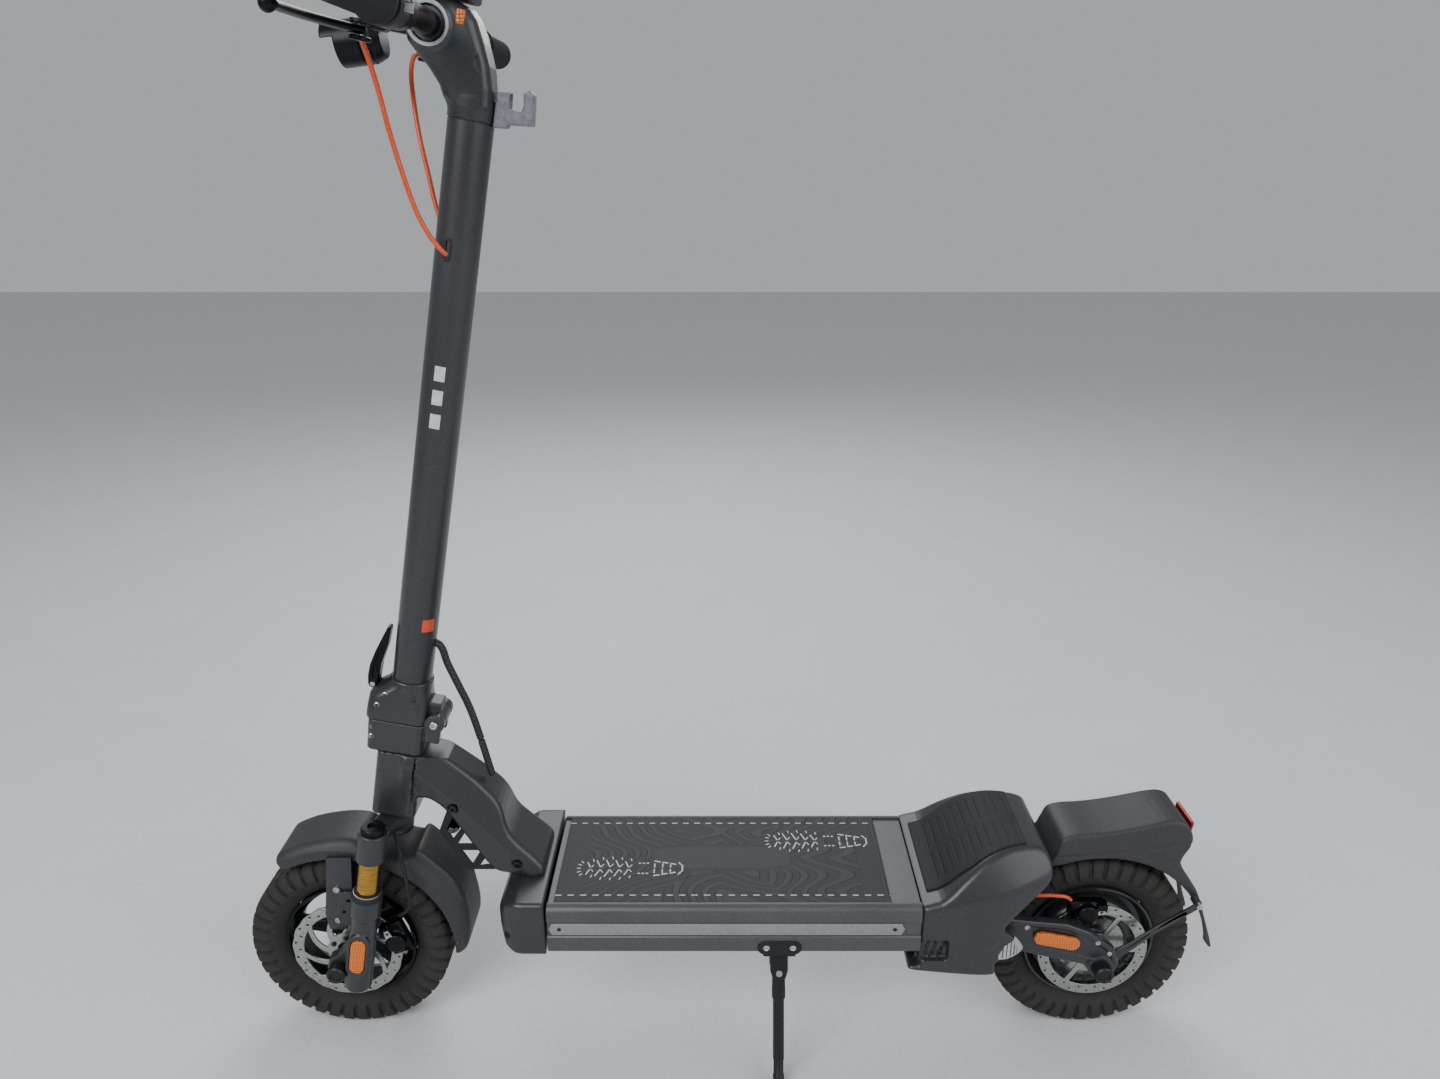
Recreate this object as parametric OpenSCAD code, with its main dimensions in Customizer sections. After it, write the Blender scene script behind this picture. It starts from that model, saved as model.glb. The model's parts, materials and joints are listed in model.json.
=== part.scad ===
// Electric kick scooter with a folding stem, a sprung fork and a hub motor in the rear wheel.
// X points forward, Y to the rider's left, Z up. The tyres and the kickstand stand on Z = 0.

/* [Overall] */
// Distance between the two axles
wheelbase = 950; // [900:5:1100]
// Outer diameter of both tyres
tyre_d = 255; // [245:1:265]
// Width of both tyres
tyre_w = 66; // [56:1:70]
// Width over the handlebar ends
bar_w = 620; // [540:5:700]
// Length of the straight stem tube
stem_len = 626; // [500:2:700]

/* [Deck] */
// Width of the deck
deck_w = 195; // [175:1:230]
// Height of the deck body
deck_h = 66; // [56:1:76]
// Height of the deck's underside above the ground
deck_clear = 173; // [160:1:190]
// Length of the bare deck extrusion between the castings
deck_len = 450; // [420:5:600]
// Wall of the deck extrusion
deck_wall = 5; // [4:0.5:7]
// Length of the rubber mat
mat_len = 406; // [340:2:412]
// Width of the rubber mat
mat_w = 172; // [120:2:174]
// Thickness of the rubber mat
mat_t = 3; // [2:0.5:4]

/* [Steering] */
// Angle between the steering axis and the vertical
rake = 11; // [9:0.5:13]
// Distance of the front axle ahead of the steering axis, at axle height
fork_reach = 37; // [30:1:44]
// Outer radius of the steerer tube
steerer_r = 15; // [13:0.5:16]
// Outer diameter of the stem tube
stem_d = 46; // [40:1:50]
// Wall of the stem tube
stem_wall = 3; // [2:0.5:5]

/* [Fork] */
// Distance of each fork leg from the middle plane
leg_y = 64; // [60:1:70]
// Outer diameter of the fork lowers
leg_d = 38; // [34:1:42]
// Outer diameter of the stanchions
stanchion_d = 27; // [24:1:30]
// Travel of the sprung fork
fork_travel = 16; // [8:1:20]

/* [Handlebar] */
// Outer diameter of the handlebar
bar_d = 24; // [22:1:28]
// Length of each grip
grip_len = 122; // [100:1:140]
// Outer diameter of each grip
grip_d = 33; // [30:1:38]

/* [Kickstand] */
// Diameter of the kickstand leg
stand_d = 14; // [12:1:18]
// Lean of the kickstand leg away from the vertical
stand_splay = 20; // [14:1:24]

/* [Hidden] */
fit = 0.06;         // radial clearance of every shaft in its bore
gap = 0.4;          // clearance between bodies that move past each other
tyre_r = tyre_d / 2;
axle_z = tyre_r;
flap_reach = 153;   // the rear fender's flap ends this far behind the rear axle
mid = (flap_reach - tyre_r) / 2;
front_x = wheelbase / 2 + mid;
rear_x = -wheelbase / 2 + mid;
deck_z = deck_clear;
deck_top = deck_z + deck_h;
deck_front = mid + 208;
deck_rear = deck_front - deck_len;
mat_front = deck_front - 8;

// Stations up the steering axis, counted from axle height
crown_lo = 162;
head_lo = 196;
head_hi = 284;
fold_w = 326;
cast_hi = 378;
stem_hi = cast_hi + stem_len;
bar_u = 44;
bar_up = stem_hi + 77;
steer_x = front_x - fork_reach;
axle_u = fork_reach * cos(rake);
axle_w = -fork_reach * sin(rake);
leg_u = 13;          // the stanchions stand this far ahead of the steering axis
wiper_w = 112;       // top of the wiper seals
stanchion_lo = 26;   // lower end of the stanchions
hinge_u = -36;       // fold hinge, behind the stem
pin_r = 5;
axle_r = 6;

// Rim, hub and rotor sizes
bead_r = tyre_r - 44;
rotor_r = 70;
rotor_y = 38;
rotor_t = 2;
hub_w = 60;
motor_r = 66;
motor_w = 60;

// Swing arm pivot and kickstand pivot
arm_x = mid - 322;
arm_z = 190;
arm_pin_r = 6;
stand_x = mid - 72;
stand_y = deck_w / 2 - 12;
stand_z = deck_z - 33;
stand_reach = (stand_z - stand_d / 2 * sin(stand_splay)) / cos(stand_splay);

$fn = 64;

// ---- helpers ----

// The fork and the stem are drawn with local Z along the steering axis and local X ahead of it.
module on_steer() { translate([steer_x, 0, axle_z]) rotate([0, -rake, 0]) children(); }

module both_sides() { children(); mirror([0, 1, 0]) children(); }

// A round bar from one side to the other, centred on the middle plane
module cross_rod(r, l) { rotate([90, 0, 0]) cylinder(r = r, h = l, center = true); }

// An outline drawn in X and Z, given a width across Y
module across(w) { rotate([90, 0, 0]) linear_extrude(w, center = true) children(); }

// A plate with rounded ends between two points of the plane
module slot2d(a, b, r) { hull() { translate(a) circle(r, $fn = 32); translate(b) circle(r, $fn = 32); } }

// A sweep of a round tube along a list of points
function unit(v) = v / norm(v);
function along(p, i) = unit(p[min(i + 1, len(p) - 1)] - p[max(i - 1, 0)]);
function side_of(t) = unit(cross(t, abs(t[1]) < 0.9 ? [0, 1, 0] : [1, 0, 0]));
function curve(p, n) = concat([for (i = [0 : len(p) - 2]) for (k = [0 : n - 1])
  let (a = p[max(i - 1, 0)], b = p[i], c = p[i + 1], d = p[min(i + 2, len(p) - 1)], s = k / n)
  0.5 * (2 * b + (c - a) * s + (2 * a - 5 * b + 4 * c - d) * s * s
    + (3 * b - a - 3 * c + d) * s * s * s)], [p[len(p) - 1]]);
module tube_along(p, r, sides = 8) {
  rings = [for (i = [0 : len(p) - 1]) let (t = along(p, i), u = side_of(t), v = cross(t, u))
    for (k = [0 : sides - 1]) p[i] + r * (cos(k * 360 / sides) * u + sin(k * 360 / sides) * v)];
  n = len(p);
  walls = [for (i = [0 : n - 2]) for (k = [0 : sides - 1])
    [i * sides + k, i * sides + (k + 1) % sides, (i + 1) * sides + (k + 1) % sides, (i + 1) * sides + k]];
  first = [for (k = [sides - 1 : -1 : 0]) k];
  last = [for (k = [0 : sides - 1]) (n - 1) * sides + k];
  polyhedron(rings, concat([first], walls, [last]));
}

// ---- deck ----

module deck_profile() {
  half = deck_w / 2;
  difference() {
    union() {
      translate([-half + 5, 0]) square([deck_w - 10, deck_h]);
      for (s = [-1, 1]) {
        translate([s * (half - 11), deck_h - 11]) circle(11);
        translate([s * (half - 6), 6]) circle(6);
        translate([s * (half - 4) - 4, 8]) square([8, deck_h - 20]);
      }
    }
    for (s = [-1, 1]) translate([s * half - 2.5, 25]) square([5, 19]);
    translate([-mat_w / 2 - gap, deck_h - mat_t]) square([mat_w + 2 * gap, mat_t + 1]);
  }
}

module deck_frame() color("#36373d") difference() {
  translate([deck_rear, 0, deck_z]) rotate([90, 0, 90]) linear_extrude(deck_len) difference() {
    deck_profile();
    translate([-deck_w / 2 + 12, deck_wall]) square([deck_w - 24, deck_h - 2 * deck_wall - mat_t]);
  }
  translate([stand_x - 30, deck_w / 2 - 6, deck_z - 1]) cube([60, 8, 20]);
}

module deck_mat() color("#26272b") translate([mat_front - mat_len, -mat_w / 2, deck_top - mat_t])
  cube([mat_len, mat_w, mat_t]);

nose_len = 62;
module nose_plan() {
  w = deck_w + 4;
  hull() {
    translate([0, -w / 2]) square([6, w]);
    for (s = [-1, 1]) translate([nose_len - 34, s * (w / 2 - 34)]) circle(34);
  }
}
module nose_casting() color("#34353b") difference() {
  intersection() {
    translate([deck_front + gap, 0, deck_z - 3]) linear_extrude(deck_h + 6) nose_plan();
    translate([deck_front, 0, deck_z - 3]) across(deck_w + 20) polygon([[0, 0], [42, 0], [56, 8],
      [62, 34], [62, 52], [54, 66], [38, deck_h + 6], [0, deck_h + 6]]);
  }
  translate([deck_front - 1, -mat_w / 2 + 8, deck_z + 8]) cube([36, mat_w - 16, deck_h - 20]);
  translate([deck_front + 28, -deck_w / 2 + 22, deck_z + 34]) rotate([90, 0, 0])
    cylinder(r = 9, h = 40);
}

// The neck starts behind the head tube and comes down onto the nose casting.
head_x = steer_x - head_hi * sin(rake);
head_z = axle_z + head_hi * cos(rake);
module neck_plan() polygon([[deck_front - 12, -54], [deck_front - 12, 54], [head_x - 30, 34],
  [head_x + 10, 30], [head_x + 60, 30], [head_x + 60, -30], [head_x + 10, -30], [head_x - 30, -34]]);
module neck_side() polygon([[head_x - 8, head_z - 1], [head_x - 34, head_z + 4], [head_x - 52, head_z - 8],
  [head_x - 78, head_z - 30], [head_x - 122, head_z - 76], [deck_front + 40, deck_top + 46],
  [deck_front + 18, deck_top + 26], [deck_front + 8, deck_top + 8], [deck_front + 8, deck_top + 3.4],
  [deck_front + 48, deck_top + 3.4], [deck_front + 74, deck_top + 2], [head_x - 56, head_z - 92],
  [head_x - 42, head_z - 68], [head_x - 26, head_z - 58], [head_x - 12, head_z - 60],
  [head_x, head_z - 74]]);
module neck_casting() color("#36373d") difference() {
  union() {
    intersection() {
      across(140) neck_side();
      translate([0, 0, deck_z]) linear_extrude(300) neck_plan();
    }
    on_steer() translate([0, 0, head_lo]) linear_extrude(head_hi - head_lo) hull() {
      for (u = [-16, 18]) for (v = [-18, 18]) translate([u, v]) circle(10, $fn = 32);
    }
  }
  on_steer() {
    translate([0, 0, head_lo - 60]) cylinder(r = steerer_r + 3, h = head_hi - head_lo + 120);
    for (w = [head_lo - 1, head_hi - 9]) translate([0, 0, w]) cylinder(r = steerer_r + 7, h = 10);
    translate([-60, -50, head_hi]) cube([100, 100, 60]);
    translate([-27, -60, head_lo - 60]) cube([80, 120, 60]);
  }
  neck_bolt_places() translate([0, 0, -4]) cylinder(r = 5, h = 30);
}
// Two bolts on each side of the neck, sunk in round pockets
module neck_bolt_places() both_sides() for (q = [[deck_front + 41, 262, 46], [deck_front + 116, 336, 37]])
  translate([q[0], q[2], q[1]]) rotate([-90, 0, 0]) children();

module headset_bearings() color("silver") on_steer() for (w = [head_lo, head_hi - 9])
  translate([0, 0, w]) difference() {
    cylinder(r = steerer_r + 7, h = 9);
    translate([0, 0, -1]) cylinder(r = steerer_r + fit, h = 12);
  }

// A lattice plate hangs under the neck on each side, joined by a strip along its lower edge.
module lattice_2d() difference() {
  polygon([[318, 346], [331, 336], [346, 298], [317, 240], [281, 240], [268, 262]]);
  for (q = [[[322, 328], [338, 299], [330, 284], [316, 304]],
      [[312, 300], [326, 277], [296, 277]],
      [[322, 269], [296, 269], [309, 247]],
      [[286, 268], [301, 245], [277, 248]]]) polygon(q);
}
module neck_bracket() color("#303136") translate([mid, 0, 0]) {
  difference() {
    both_sides() translate([0, 25, 0]) across(3) lattice_2d();
    translate([-mid, 0, 0]) across(200) neck_side();
  }
  translate([288, -23.6, 243.6]) cube([26, 47.2, 3]);
}

module bolt(r, h) { cylinder(r = r, h = h, $fn = 24); }
module frame_bolts() color("#15161a") {
  neck_bolt_places() translate([0, 0, -4]) bolt(5, 5);
  translate([deck_front + 10, 0, deck_z - 6]) for (s = [-1, 1]) translate([0, s * 60, 0]) bolt(5, 3);
}

module horn() color("#101114") translate([mid + 331.5, 0, 299.5]) { cross_rod(9.5, 46.8); cross_rod(4, 58); }

module battery_pack() color("#2d5f8a") translate([deck_rear + 110, -deck_w / 2 + 20, deck_z + deck_wall])
  cube([deck_len - 130, deck_w - 40, deck_h - 2 * deck_wall - mat_t - 8]);
module controller() color("#8c8f94") translate([deck_rear + 14, -deck_w / 2 + 22, deck_z + deck_wall])
  cube([86, deck_w - 44, 34]);

// ---- charge socket, rear casting, kickstand mount ----

port_x = deck_front + 28;
port_z = deck_z + 34;
module charge_port() color("#1a1a1d") translate([port_x, -deck_w / 2 - 2, port_z]) rotate([-90, 0, 0])
  difference() {
    cylinder(r = 9, h = 20);
    translate([0, 0, -1]) cylinder(r = 6, h = 14);
  }
module charge_cap() color("#1a1a1d") translate([port_x, -deck_w / 2 - 2 - gap, port_z])
  rotate([90, 0, 0]) {
    cylinder(r = 11, h = 3);
    translate([-5, 9, 0]) cube([10, 8, 3]);
    translate([-5, 17, 1.9]) rotate([0, 90, 0]) cylinder(r = 1.5, h = 10);
  }

module rear_side() polygon([[0, 40], [24, 46], [52, 72], [78, 92], [104, 101], [132, 102], [154, 96],
  [160, 78], [158, 62], [130, 42], [108, 20], [98, 4], [112, -4], [124, -16], [130, -28], [112, -38],
  [92, -40], [96, -62], [40, -58], [-16, -52], [-16, -46], [0, -44]]);
arm_half = 52;
module rear_casting() color("#34353b") difference() {
  intersection() {
    translate([deck_rear - gap, 0, 0]) mirror([1, 0, 0]) translate([0, 0, arm_z + 8])
      across(deck_w + 4) rear_side();
    translate([deck_rear - 180, 0, 0]) linear_extrude(400) hull() {
      translate([170, -deck_w / 2 - 2]) square([40, deck_w + 4]);
      for (s = [-1, 1]) translate([34, s * (deck_w / 2 - 34)]) circle(30);
    }
  }
  // room for the deck's end, the swing arm and its springs
  translate([deck_rear, -deck_w / 2, deck_z]) cube([60, deck_w, deck_h]);
  translate([arm_x - 110, -arm_half - 36, arm_z - 40]) cube([134, 2 * arm_half + 72, 72]);
  translate([arm_x, 0, arm_z]) cross_rod(arm_pin_r, deck_w + 20);
  // the hollow under the foot rest
  translate([deck_rear - gap, 0, arm_z + 8]) mirror([1, 0, 0]) across(deck_w - 30) polygon([[60, 20],
    [60, 62], [84, 82], [108, 90], [132, 91], [146, 78], [124, 44], [98, 20]]);
}

module kick_pad() color("#232428") intersection() {
  translate([deck_rear - gap, 0, arm_z + 8]) mirror([1, 0, 0]) across(150) polygon([[4, 41.2],
    [24, 46.4], [52, 72.4], [78, 92.4], [104, 101.4], [132, 102.4], [132, 105], [103, 104],
    [76, 95], [50, 75], [23, 49], [4, 44]]);
  translate([deck_rear - 150, 0, 0]) linear_extrude(400) hull() {
    translate([120, -75]) square([30, 150]);
    for (s = [-1, 1]) translate([20, s * 30]) circle(20);
  }
}

module swingarm_pin() color("silver") translate([arm_x, 0, arm_z]) cross_rod(arm_pin_r, deck_w);

module kickstand_mount() color("#151519") {
  translate([stand_x, deck_w / 2 - 5.6, deck_z + 8.5]) rotate([-90, 0, 0]) linear_extrude(4)
    slot2d([-17, 0], [17, 0], 10);
  for (s = [-1, 1]) translate([stand_x + s * 16, deck_w / 2 - 1.6, deck_z + 8.5]) rotate([-90, 0, 0])
    bolt(4, 2.5);
  difference() {
    union() {
      translate([stand_x - 20, stand_y - 22, deck_z - 6]) cube([40, 34, 6]);
      translate([stand_x, stand_y, stand_z]) rotate([stand_splay, 0, 0]) for (s = [8.6, -14.6])
        translate([-11, s, 0]) cube([22, 6, deck_z - stand_z - 2]);
      translate([stand_x, stand_y, stand_z]) rotate([stand_splay, 0, 0]) for (s = [8.6, -14.6])
        translate([0, s, 0]) rotate([-90, 0, 0]) cylinder(r = 11, h = 6);
    }
    translate([stand_x, stand_y, stand_z]) rotate([stand_splay, 0, 0]) cross_rod(4 + fit, 60);
    translate([stand_x - 40, stand_y - 40, deck_z]) cube([80, 52, 40]);
  }
}
module kickstand_leg() color("#17171a") translate([stand_x, stand_y, stand_z]) rotate([stand_splay, 0, 0]) {
  cross_rod(4, 36);
  difference() {
    union() {
      cross_rod(9, 16);
      translate([-8, -8, -36]) cube([16, 16, 36]);
      translate([0, 0, -stand_reach]) cylinder(r = stand_d / 2, h = stand_reach - 8);
    }
    cross_rod(4, 60);
  }
}

// ---- fork above the springs ----

module steerer_crown() color("#33343a") on_steer() {
  translate([0, 0, crown_lo]) cylinder(r = steerer_r, h = fold_w - crown_lo - 26);
  difference() {
    union() {
      translate([0, 0, crown_lo]) cylinder(r = 21, h = head_lo - crown_lo - gap);
      translate([leg_u, 0, crown_lo + 12]) linear_extrude(20) hull() for (s = [-1, 1]) {
        translate([0, s * (leg_y - 8)]) circle(12, $fn = 32);
        translate([-leg_u, s * 8]) circle(16, $fn = 32);
      }
      for (s = [-1, 1]) translate([leg_u, s * leg_y, crown_lo - 4]) cylinder(r = 18, h = 40);
    }
    for (s = [-1, 1]) translate([leg_u, s * leg_y, crown_lo - 5]) cylinder(r = stanchion_d / 2, h = 60);
  }
}
// Each stanchion carries its screwed top cap.
module stanchions() color("#b08a3e") on_steer() for (s = [-1, 1]) {
  translate([leg_u, s * leg_y, stanchion_lo])
    cylinder(r = stanchion_d / 2, h = crown_lo + 36 - stanchion_lo);
  translate([leg_u, s * leg_y, crown_lo + 36]) difference() {
    cylinder(r = 15, h = 7);
    translate([0, 0, 3]) cylinder(r = 6, h = 5, $fn = 6);
  }
}

// The fold base sits on the head tube and turns with the steerer; the stem folds back over its pin.
module cast_plan(e = 0) hull() {
  for (v = [-19, 19]) {
    translate([26 + e, v]) circle(8, $fn = 32);
    translate([-16, v]) circle(10, $fn = 32);
  }
}
module fold_base() color("#36373d") on_steer() difference() {
  union() {
    translate([0, 0, head_hi + gap]) linear_extrude(fold_w - head_hi - gap - 0.3) cast_plan(8);
    for (s = [-1, 1]) {
      translate([hinge_u, s * 19, fold_w + 4]) cross_rod(12, 12);
      translate([hinge_u - 9, s * 19 - 6, fold_w - 22]) cube([20, 12, 24]);
    }
  }
  translate([0, 0, head_hi - 1]) cylinder(r = steerer_r, h = fold_w - 26 - head_hi + 1.2);
  translate([hinge_u, 0, fold_w + 4]) cross_rod(pin_r, 60);
  translate([hinge_u, 0, fold_w + 4]) cross_rod(12 + gap, 26);
}
module fold_pin() color("silver") on_steer() translate([hinge_u, 0, fold_w + 4]) cross_rod(pin_r, 56);
module fold_head() color("#36373d") on_steer() difference() {
  union() {
    hull() {
      translate([0, 0, fold_w]) linear_extrude(0.1) cast_plan(12);
      translate([0, 0, fold_w + 26]) linear_extrude(0.1) cast_plan(10);
      translate([0, 0, cast_hi - 0.1]) cylinder(r = stem_d / 2 + 2, h = 0.1, $fn = 32);
    }
    translate([hinge_u, 0, fold_w + 4]) cross_rod(12, 25);
    translate([hinge_u - 6, -12.5, fold_w + 8]) cube([24, 25, 20]);
  }
  translate([hinge_u, 0, fold_w + 4]) cross_rod(pin_r + fit, 60);
  for (s = [-1, 1]) translate([hinge_u, s * 19.5, fold_w + 4]) cross_rod(13, 14);
  translate([0, 0, cast_hi - 34]) cylinder(r = stem_d / 2, h = 50);
  translate([latch_u - 5, -9.4, fold_w + 26]) cube([40, 18.8, 80]);
}

// The latch lever hangs in the front of the fold head and its blade lies up along the stem.
latch_u = 42;
latch_w = fold_w + 36;
module fold_lever() color("#131316") on_steer() {
  translate([latch_u + 2, 0, latch_w]) cross_rod(6, 18);
  difference() {
    across(18) polygon([[latch_u - 4, latch_w], [latch_u + 2, latch_w - 6], [latch_u + 8, latch_w],
      [latch_u + 9, latch_w + 20], [latch_u + 2, latch_w + 44], [latch_u - 9, latch_w + 76],
      [latch_u - 13, latch_w + 76], [latch_u - 11, latch_w + 52], [latch_u - 5, latch_w + 26]]);
    translate([latch_u + 2, 0, latch_w]) cross_rod(2, 30);
  }
}

// ---- stem ----

module stem_tube() color("#36373d") on_steer() difference() {
  translate([0, 0, cast_hi - 34]) cylinder(r = stem_d / 2, h = stem_len + 34);
  translate([0, 0, cast_hi - 35]) cylinder(r = stem_d / 2 - stem_wall, h = stem_len + 40);
  for (s = [-1, 1]) translate([5, s * stem_d / 2, stem_hi - 126]) cube([6.6, 14, 24], center = true);
}
module head_side() polygon([[-23, 0], [23, 0], [27, 16], [41, 37], [52, 50], [66, 62], [70, 76], [62, 94],
  [48, 102], [32, 103], [10, 100], [2, 92], [-8, 70], [-17, 50], [-21, 34]]);
module stem_head() color("#36373d") on_steer() difference() {
  translate([0, 0, stem_hi]) intersection() {
    across(2 * stem_d) head_side();
    union() {
      linear_extrude(120) hull() {
        circle(stem_d / 2);
        translate([60, 0]) circle(stem_d / 2);
      }
      translate([bar_u, 0, 77]) cross_rod(21, 58);
    }
  }
  translate([bar_u, 0, bar_up]) cross_rod(bar_d / 2, 200);
}

module handlebar() color("#141417") on_steer() translate([bar_u, 0, bar_up])
  difference() { cross_rod(bar_d / 2, bar_w - 6); cross_rod(bar_d / 2 - 2.5, bar_w + 20); }
module grips() color("#101113") on_steer() translate([bar_u, 0, bar_up]) both_sides() difference() {
  union() {
    translate([0, bar_w / 2 - grip_len, 0]) rotate([-90, 0, 0]) cylinder(r = grip_d / 2, h = grip_len);
    translate([0, bar_w / 2 - grip_len, 0]) rotate([-90, 0, 0]) cylinder(r = grip_d / 2 + 3, h = 4);
  }
  translate([0, bar_w / 2 - grip_len - 1, 0]) rotate([-90, 0, 0]) cylinder(r = bar_d / 2, h = grip_len - 2);
}
module side_markers() color("#f0a030") on_steer() both_sides()
  translate([bar_u - 34, stem_d / 2, bar_up + 4]) cube([9, 4, 14]);

// The display sits on the head and faces the rider.
disp_up = stem_hi + 103.3;
module display() color("#0e0f12") on_steer() translate([bar_u - 4, 0, disp_up])
  translate([-33, -29, 0]) cube([66, 58, 14]);

lamp_u = 112;
lamp_w = stem_hi + 50;
module at_lamp() on_steer() translate([lamp_u, 0, lamp_w]) rotate([0, 90 + 18, 0]) children();
module headlight_shell() color("#2b2c31") {
  at_lamp() difference() {
    union() {
      translate([0, 0, -22]) cylinder(r = 22, h = 44);
      intersection() {
        translate([0, 0, 20]) cylinder(r = 22, h = 14);
        translate([-40, -40, 20]) cube([36, 80, 20]);
      }
    }
    translate([0, 0, -17]) cylinder(r = 19, h = 80);
  }
  on_steer() difference() {
    translate([70, -9, lamp_w + 14]) cube([32, 18, 9]);
    translate([bar_u, 0, bar_up]) cross_rod(21, 58);
  }
}
module headlight_lens() color("#dfe6ea") at_lamp() translate([0, 0, 12]) cylinder(r = 19, h = 4);

module bag_hook() color("#7c7f85") on_steer() translate([-stem_d / 2 - 0.2, 0, stem_hi]) across(22)
  polygon([[0, 2], [0, 30], [-14, 32], [-14, 16], [-26, 16], [-28, 22], [-26, 34], [-32, 38],
    [-37, 34], [-39, 4], [-14, 2], [-13, -2], [0, -4]]);

// ---- controls on the bar ----

perch_y = 128;
lever_u = bar_u + 34;
lever_w = bar_up - 22;
module lever_perches() color("#2a2b30") on_steer() both_sides() difference() {
  union() {
    translate([bar_u, perch_y, bar_up]) cross_rod(bar_d / 2 + 5, 20);
    hull() {
      translate([bar_u + 12, perch_y - 9, bar_up - 16]) cube([8, 18, 14]);
      translate([lever_u, perch_y - 16, lever_w - 9]) cylinder(r = 10, h = 18, $fn = 32);
    }
  }
  translate([bar_u, perch_y, bar_up]) cross_rod(bar_d / 2, 60);
  translate([lever_u - 14, perch_y - 34, lever_w - 4.5]) cube([60, 80, 9]);
  translate([lever_u, perch_y - 16, lever_w - 20]) cylinder(r = 3, h = 60);
}
module brake_lever() on_steer() {
  translate([lever_u, perch_y - 16, lever_w - 9]) cylinder(r = 3 - fit, h = 18);
  difference() {
    translate([0, 0, lever_w - 4]) linear_extrude(8) union() {
      hull() {
        translate([lever_u, perch_y - 16]) circle(7, $fn = 32);
        translate([lever_u + 16, perch_y + 16]) circle(6, $fn = 32);
      }
      slot2d([lever_u + 16, perch_y + 16], [lever_u + 26, perch_y + 56], 5.5);
      slot2d([lever_u + 26, perch_y + 56], [lever_u + 26, perch_y + 112], 5);
      translate([lever_u + 27, perch_y + 116]) circle(7.5);
    }
    translate([lever_u, perch_y - 16, lever_w - 9]) cylinder(r = 3 - fit, h = 18);
  }
}
module brake_lever_left() color("#131316") brake_lever();
module brake_lever_right() color("#131316") mirror([0, 1, 0]) brake_lever();

pod_y = 160;
module control_housings() color("#18191c") on_steer() difference() {
  union() for (s = [-1, 1]) translate([bar_u, s * pod_y, bar_up]) {
    cross_rod(bar_d / 2 + 7, 26);
    if (s < 0) translate([-12, -13, -26]) cube([20, 26, 12]);
  }
  for (s = [-1, 1]) translate([bar_u, s * pod_y, bar_up]) cross_rod(bar_d / 2, 60);
  translate([bar_u - bar_d / 2 - 8, pod_y - 8, bar_up - 4]) cube([5, 16, 8]);
  translate([bar_u - 13, -pod_y - 6, bar_up - 27]) cube([22, 12, 8]);
}
module throttle_lever() color("#26272b") on_steer() translate([bar_u - 2, -pod_y, bar_up - 24]) {
  cross_rod(3, 11.2);
  translate([-30, -5.6, -8]) cube([29, 11.2, 7]);
}
module signal_switch() color("#b9bcc0") on_steer()
  translate([bar_u - bar_d / 2 - 11, pod_y - 2.5, bar_up - 3.6]) cube([7.8, 5, 7.2]);

// Cable routes, in millimetres ahead of the steering axis, to the left, and up from the stem's top
cable_left = [[80, 101.6, 55], [84, 92, 54], [86, 80, 48], [83, 66, 33], [76, 53, 8], [66, 45, -24],
  [52, 39, -60], [38, 33, -92], [24, 28, -114], [12, 25, -126], [5, 21, -132]];
cable_right = [[80, -101.6, 55], [83, -92, 53], [84, -80, 46], [80, -64, 30], [71, -51, 4],
  [60, -43, -28], [46, -37, -62], [33, -32, -94], [21, -28, -114], [12, -25, -125], [5, -21, -132]];
module brake_cables() color("#c8440f") on_steer() translate([0, 0, stem_hi])
  for (c = [cable_left, cable_right]) tube_along(curve(c, 3), 2.6);

// The loom leaves the stem's back and goes down into the top of the neck.
loom = [[330, 0, 538], [323, 0, 514], [314, 0, 489], [304, 0, 462], [297, 0, 437], [290, 0, 405],
  [285, 0, 380], [281, 0, 361]];
module stem_loom() color("#1b1b1e") translate([mid, 0, 0]) tube_along(curve(loom, 2), 4.5, 10);

// ---- fork below the springs ----

module fork_lowers() color("#36373d") on_steer() for (s = [-1, 1]) difference() {
  union() {
    translate([leg_u, s * leg_y, 76]) cylinder(r = leg_d / 2, h = wiper_w - 8 - 76);
    translate([leg_u, s * leg_y, -36]) cylinder(r = leg_d / 2 - 2.5, h = 112);
    translate([0, s * leg_y, 0]) across(16) hull() {
      translate([axle_u, axle_w]) circle(15, $fn = 32);
      translate([leg_u, 22]) circle(15, $fn = 32);
      translate([leg_u, -22]) circle(12, $fn = 32);
    }
    translate([leg_u + 22, s * (leg_y - 16), 44]) across(4) polygon([[-16, -6], [10, -4], [16, 8],
      [16, 44], [2, 48], [-16, 30]]);
  }
  translate([leg_u, s * leg_y, stanchion_lo - fork_travel - 2]) cylinder(r = stanchion_d / 2 + fit, h = 140);
  translate([axle_u, s * leg_y, axle_w]) cross_rod(axle_r, 60);
  translate([axle_u, s * (leg_y + 18), axle_w]) cross_rod(12, 20);
}
module fork_wipers() color("#101012") on_steer() for (s = [-1, 1])
  translate([leg_u, s * leg_y, wiper_w - 8]) difference() {
    union() { cylinder(r = leg_d / 2, h = 5); cylinder(r = leg_d / 2 - 2, h = 8); }
    translate([0, 0, -1]) cylinder(r = stanchion_d / 2 + fit, h = 12);
  }

module axle_with_caps(out) {
  cross_rod(axle_r, 2 * out);
  both_sides() translate([0, out - 12, 0]) rotate([-90, 0, 0]) difference() {
    cylinder(r = 12, h = 16);
    translate([0, 0, -1]) cylinder(r = axle_r, h = 13);
  }
}
module front_axle() color("#1b1b1e") translate([front_x, 0, axle_z]) axle_with_caps(leg_y + 20);

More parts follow.
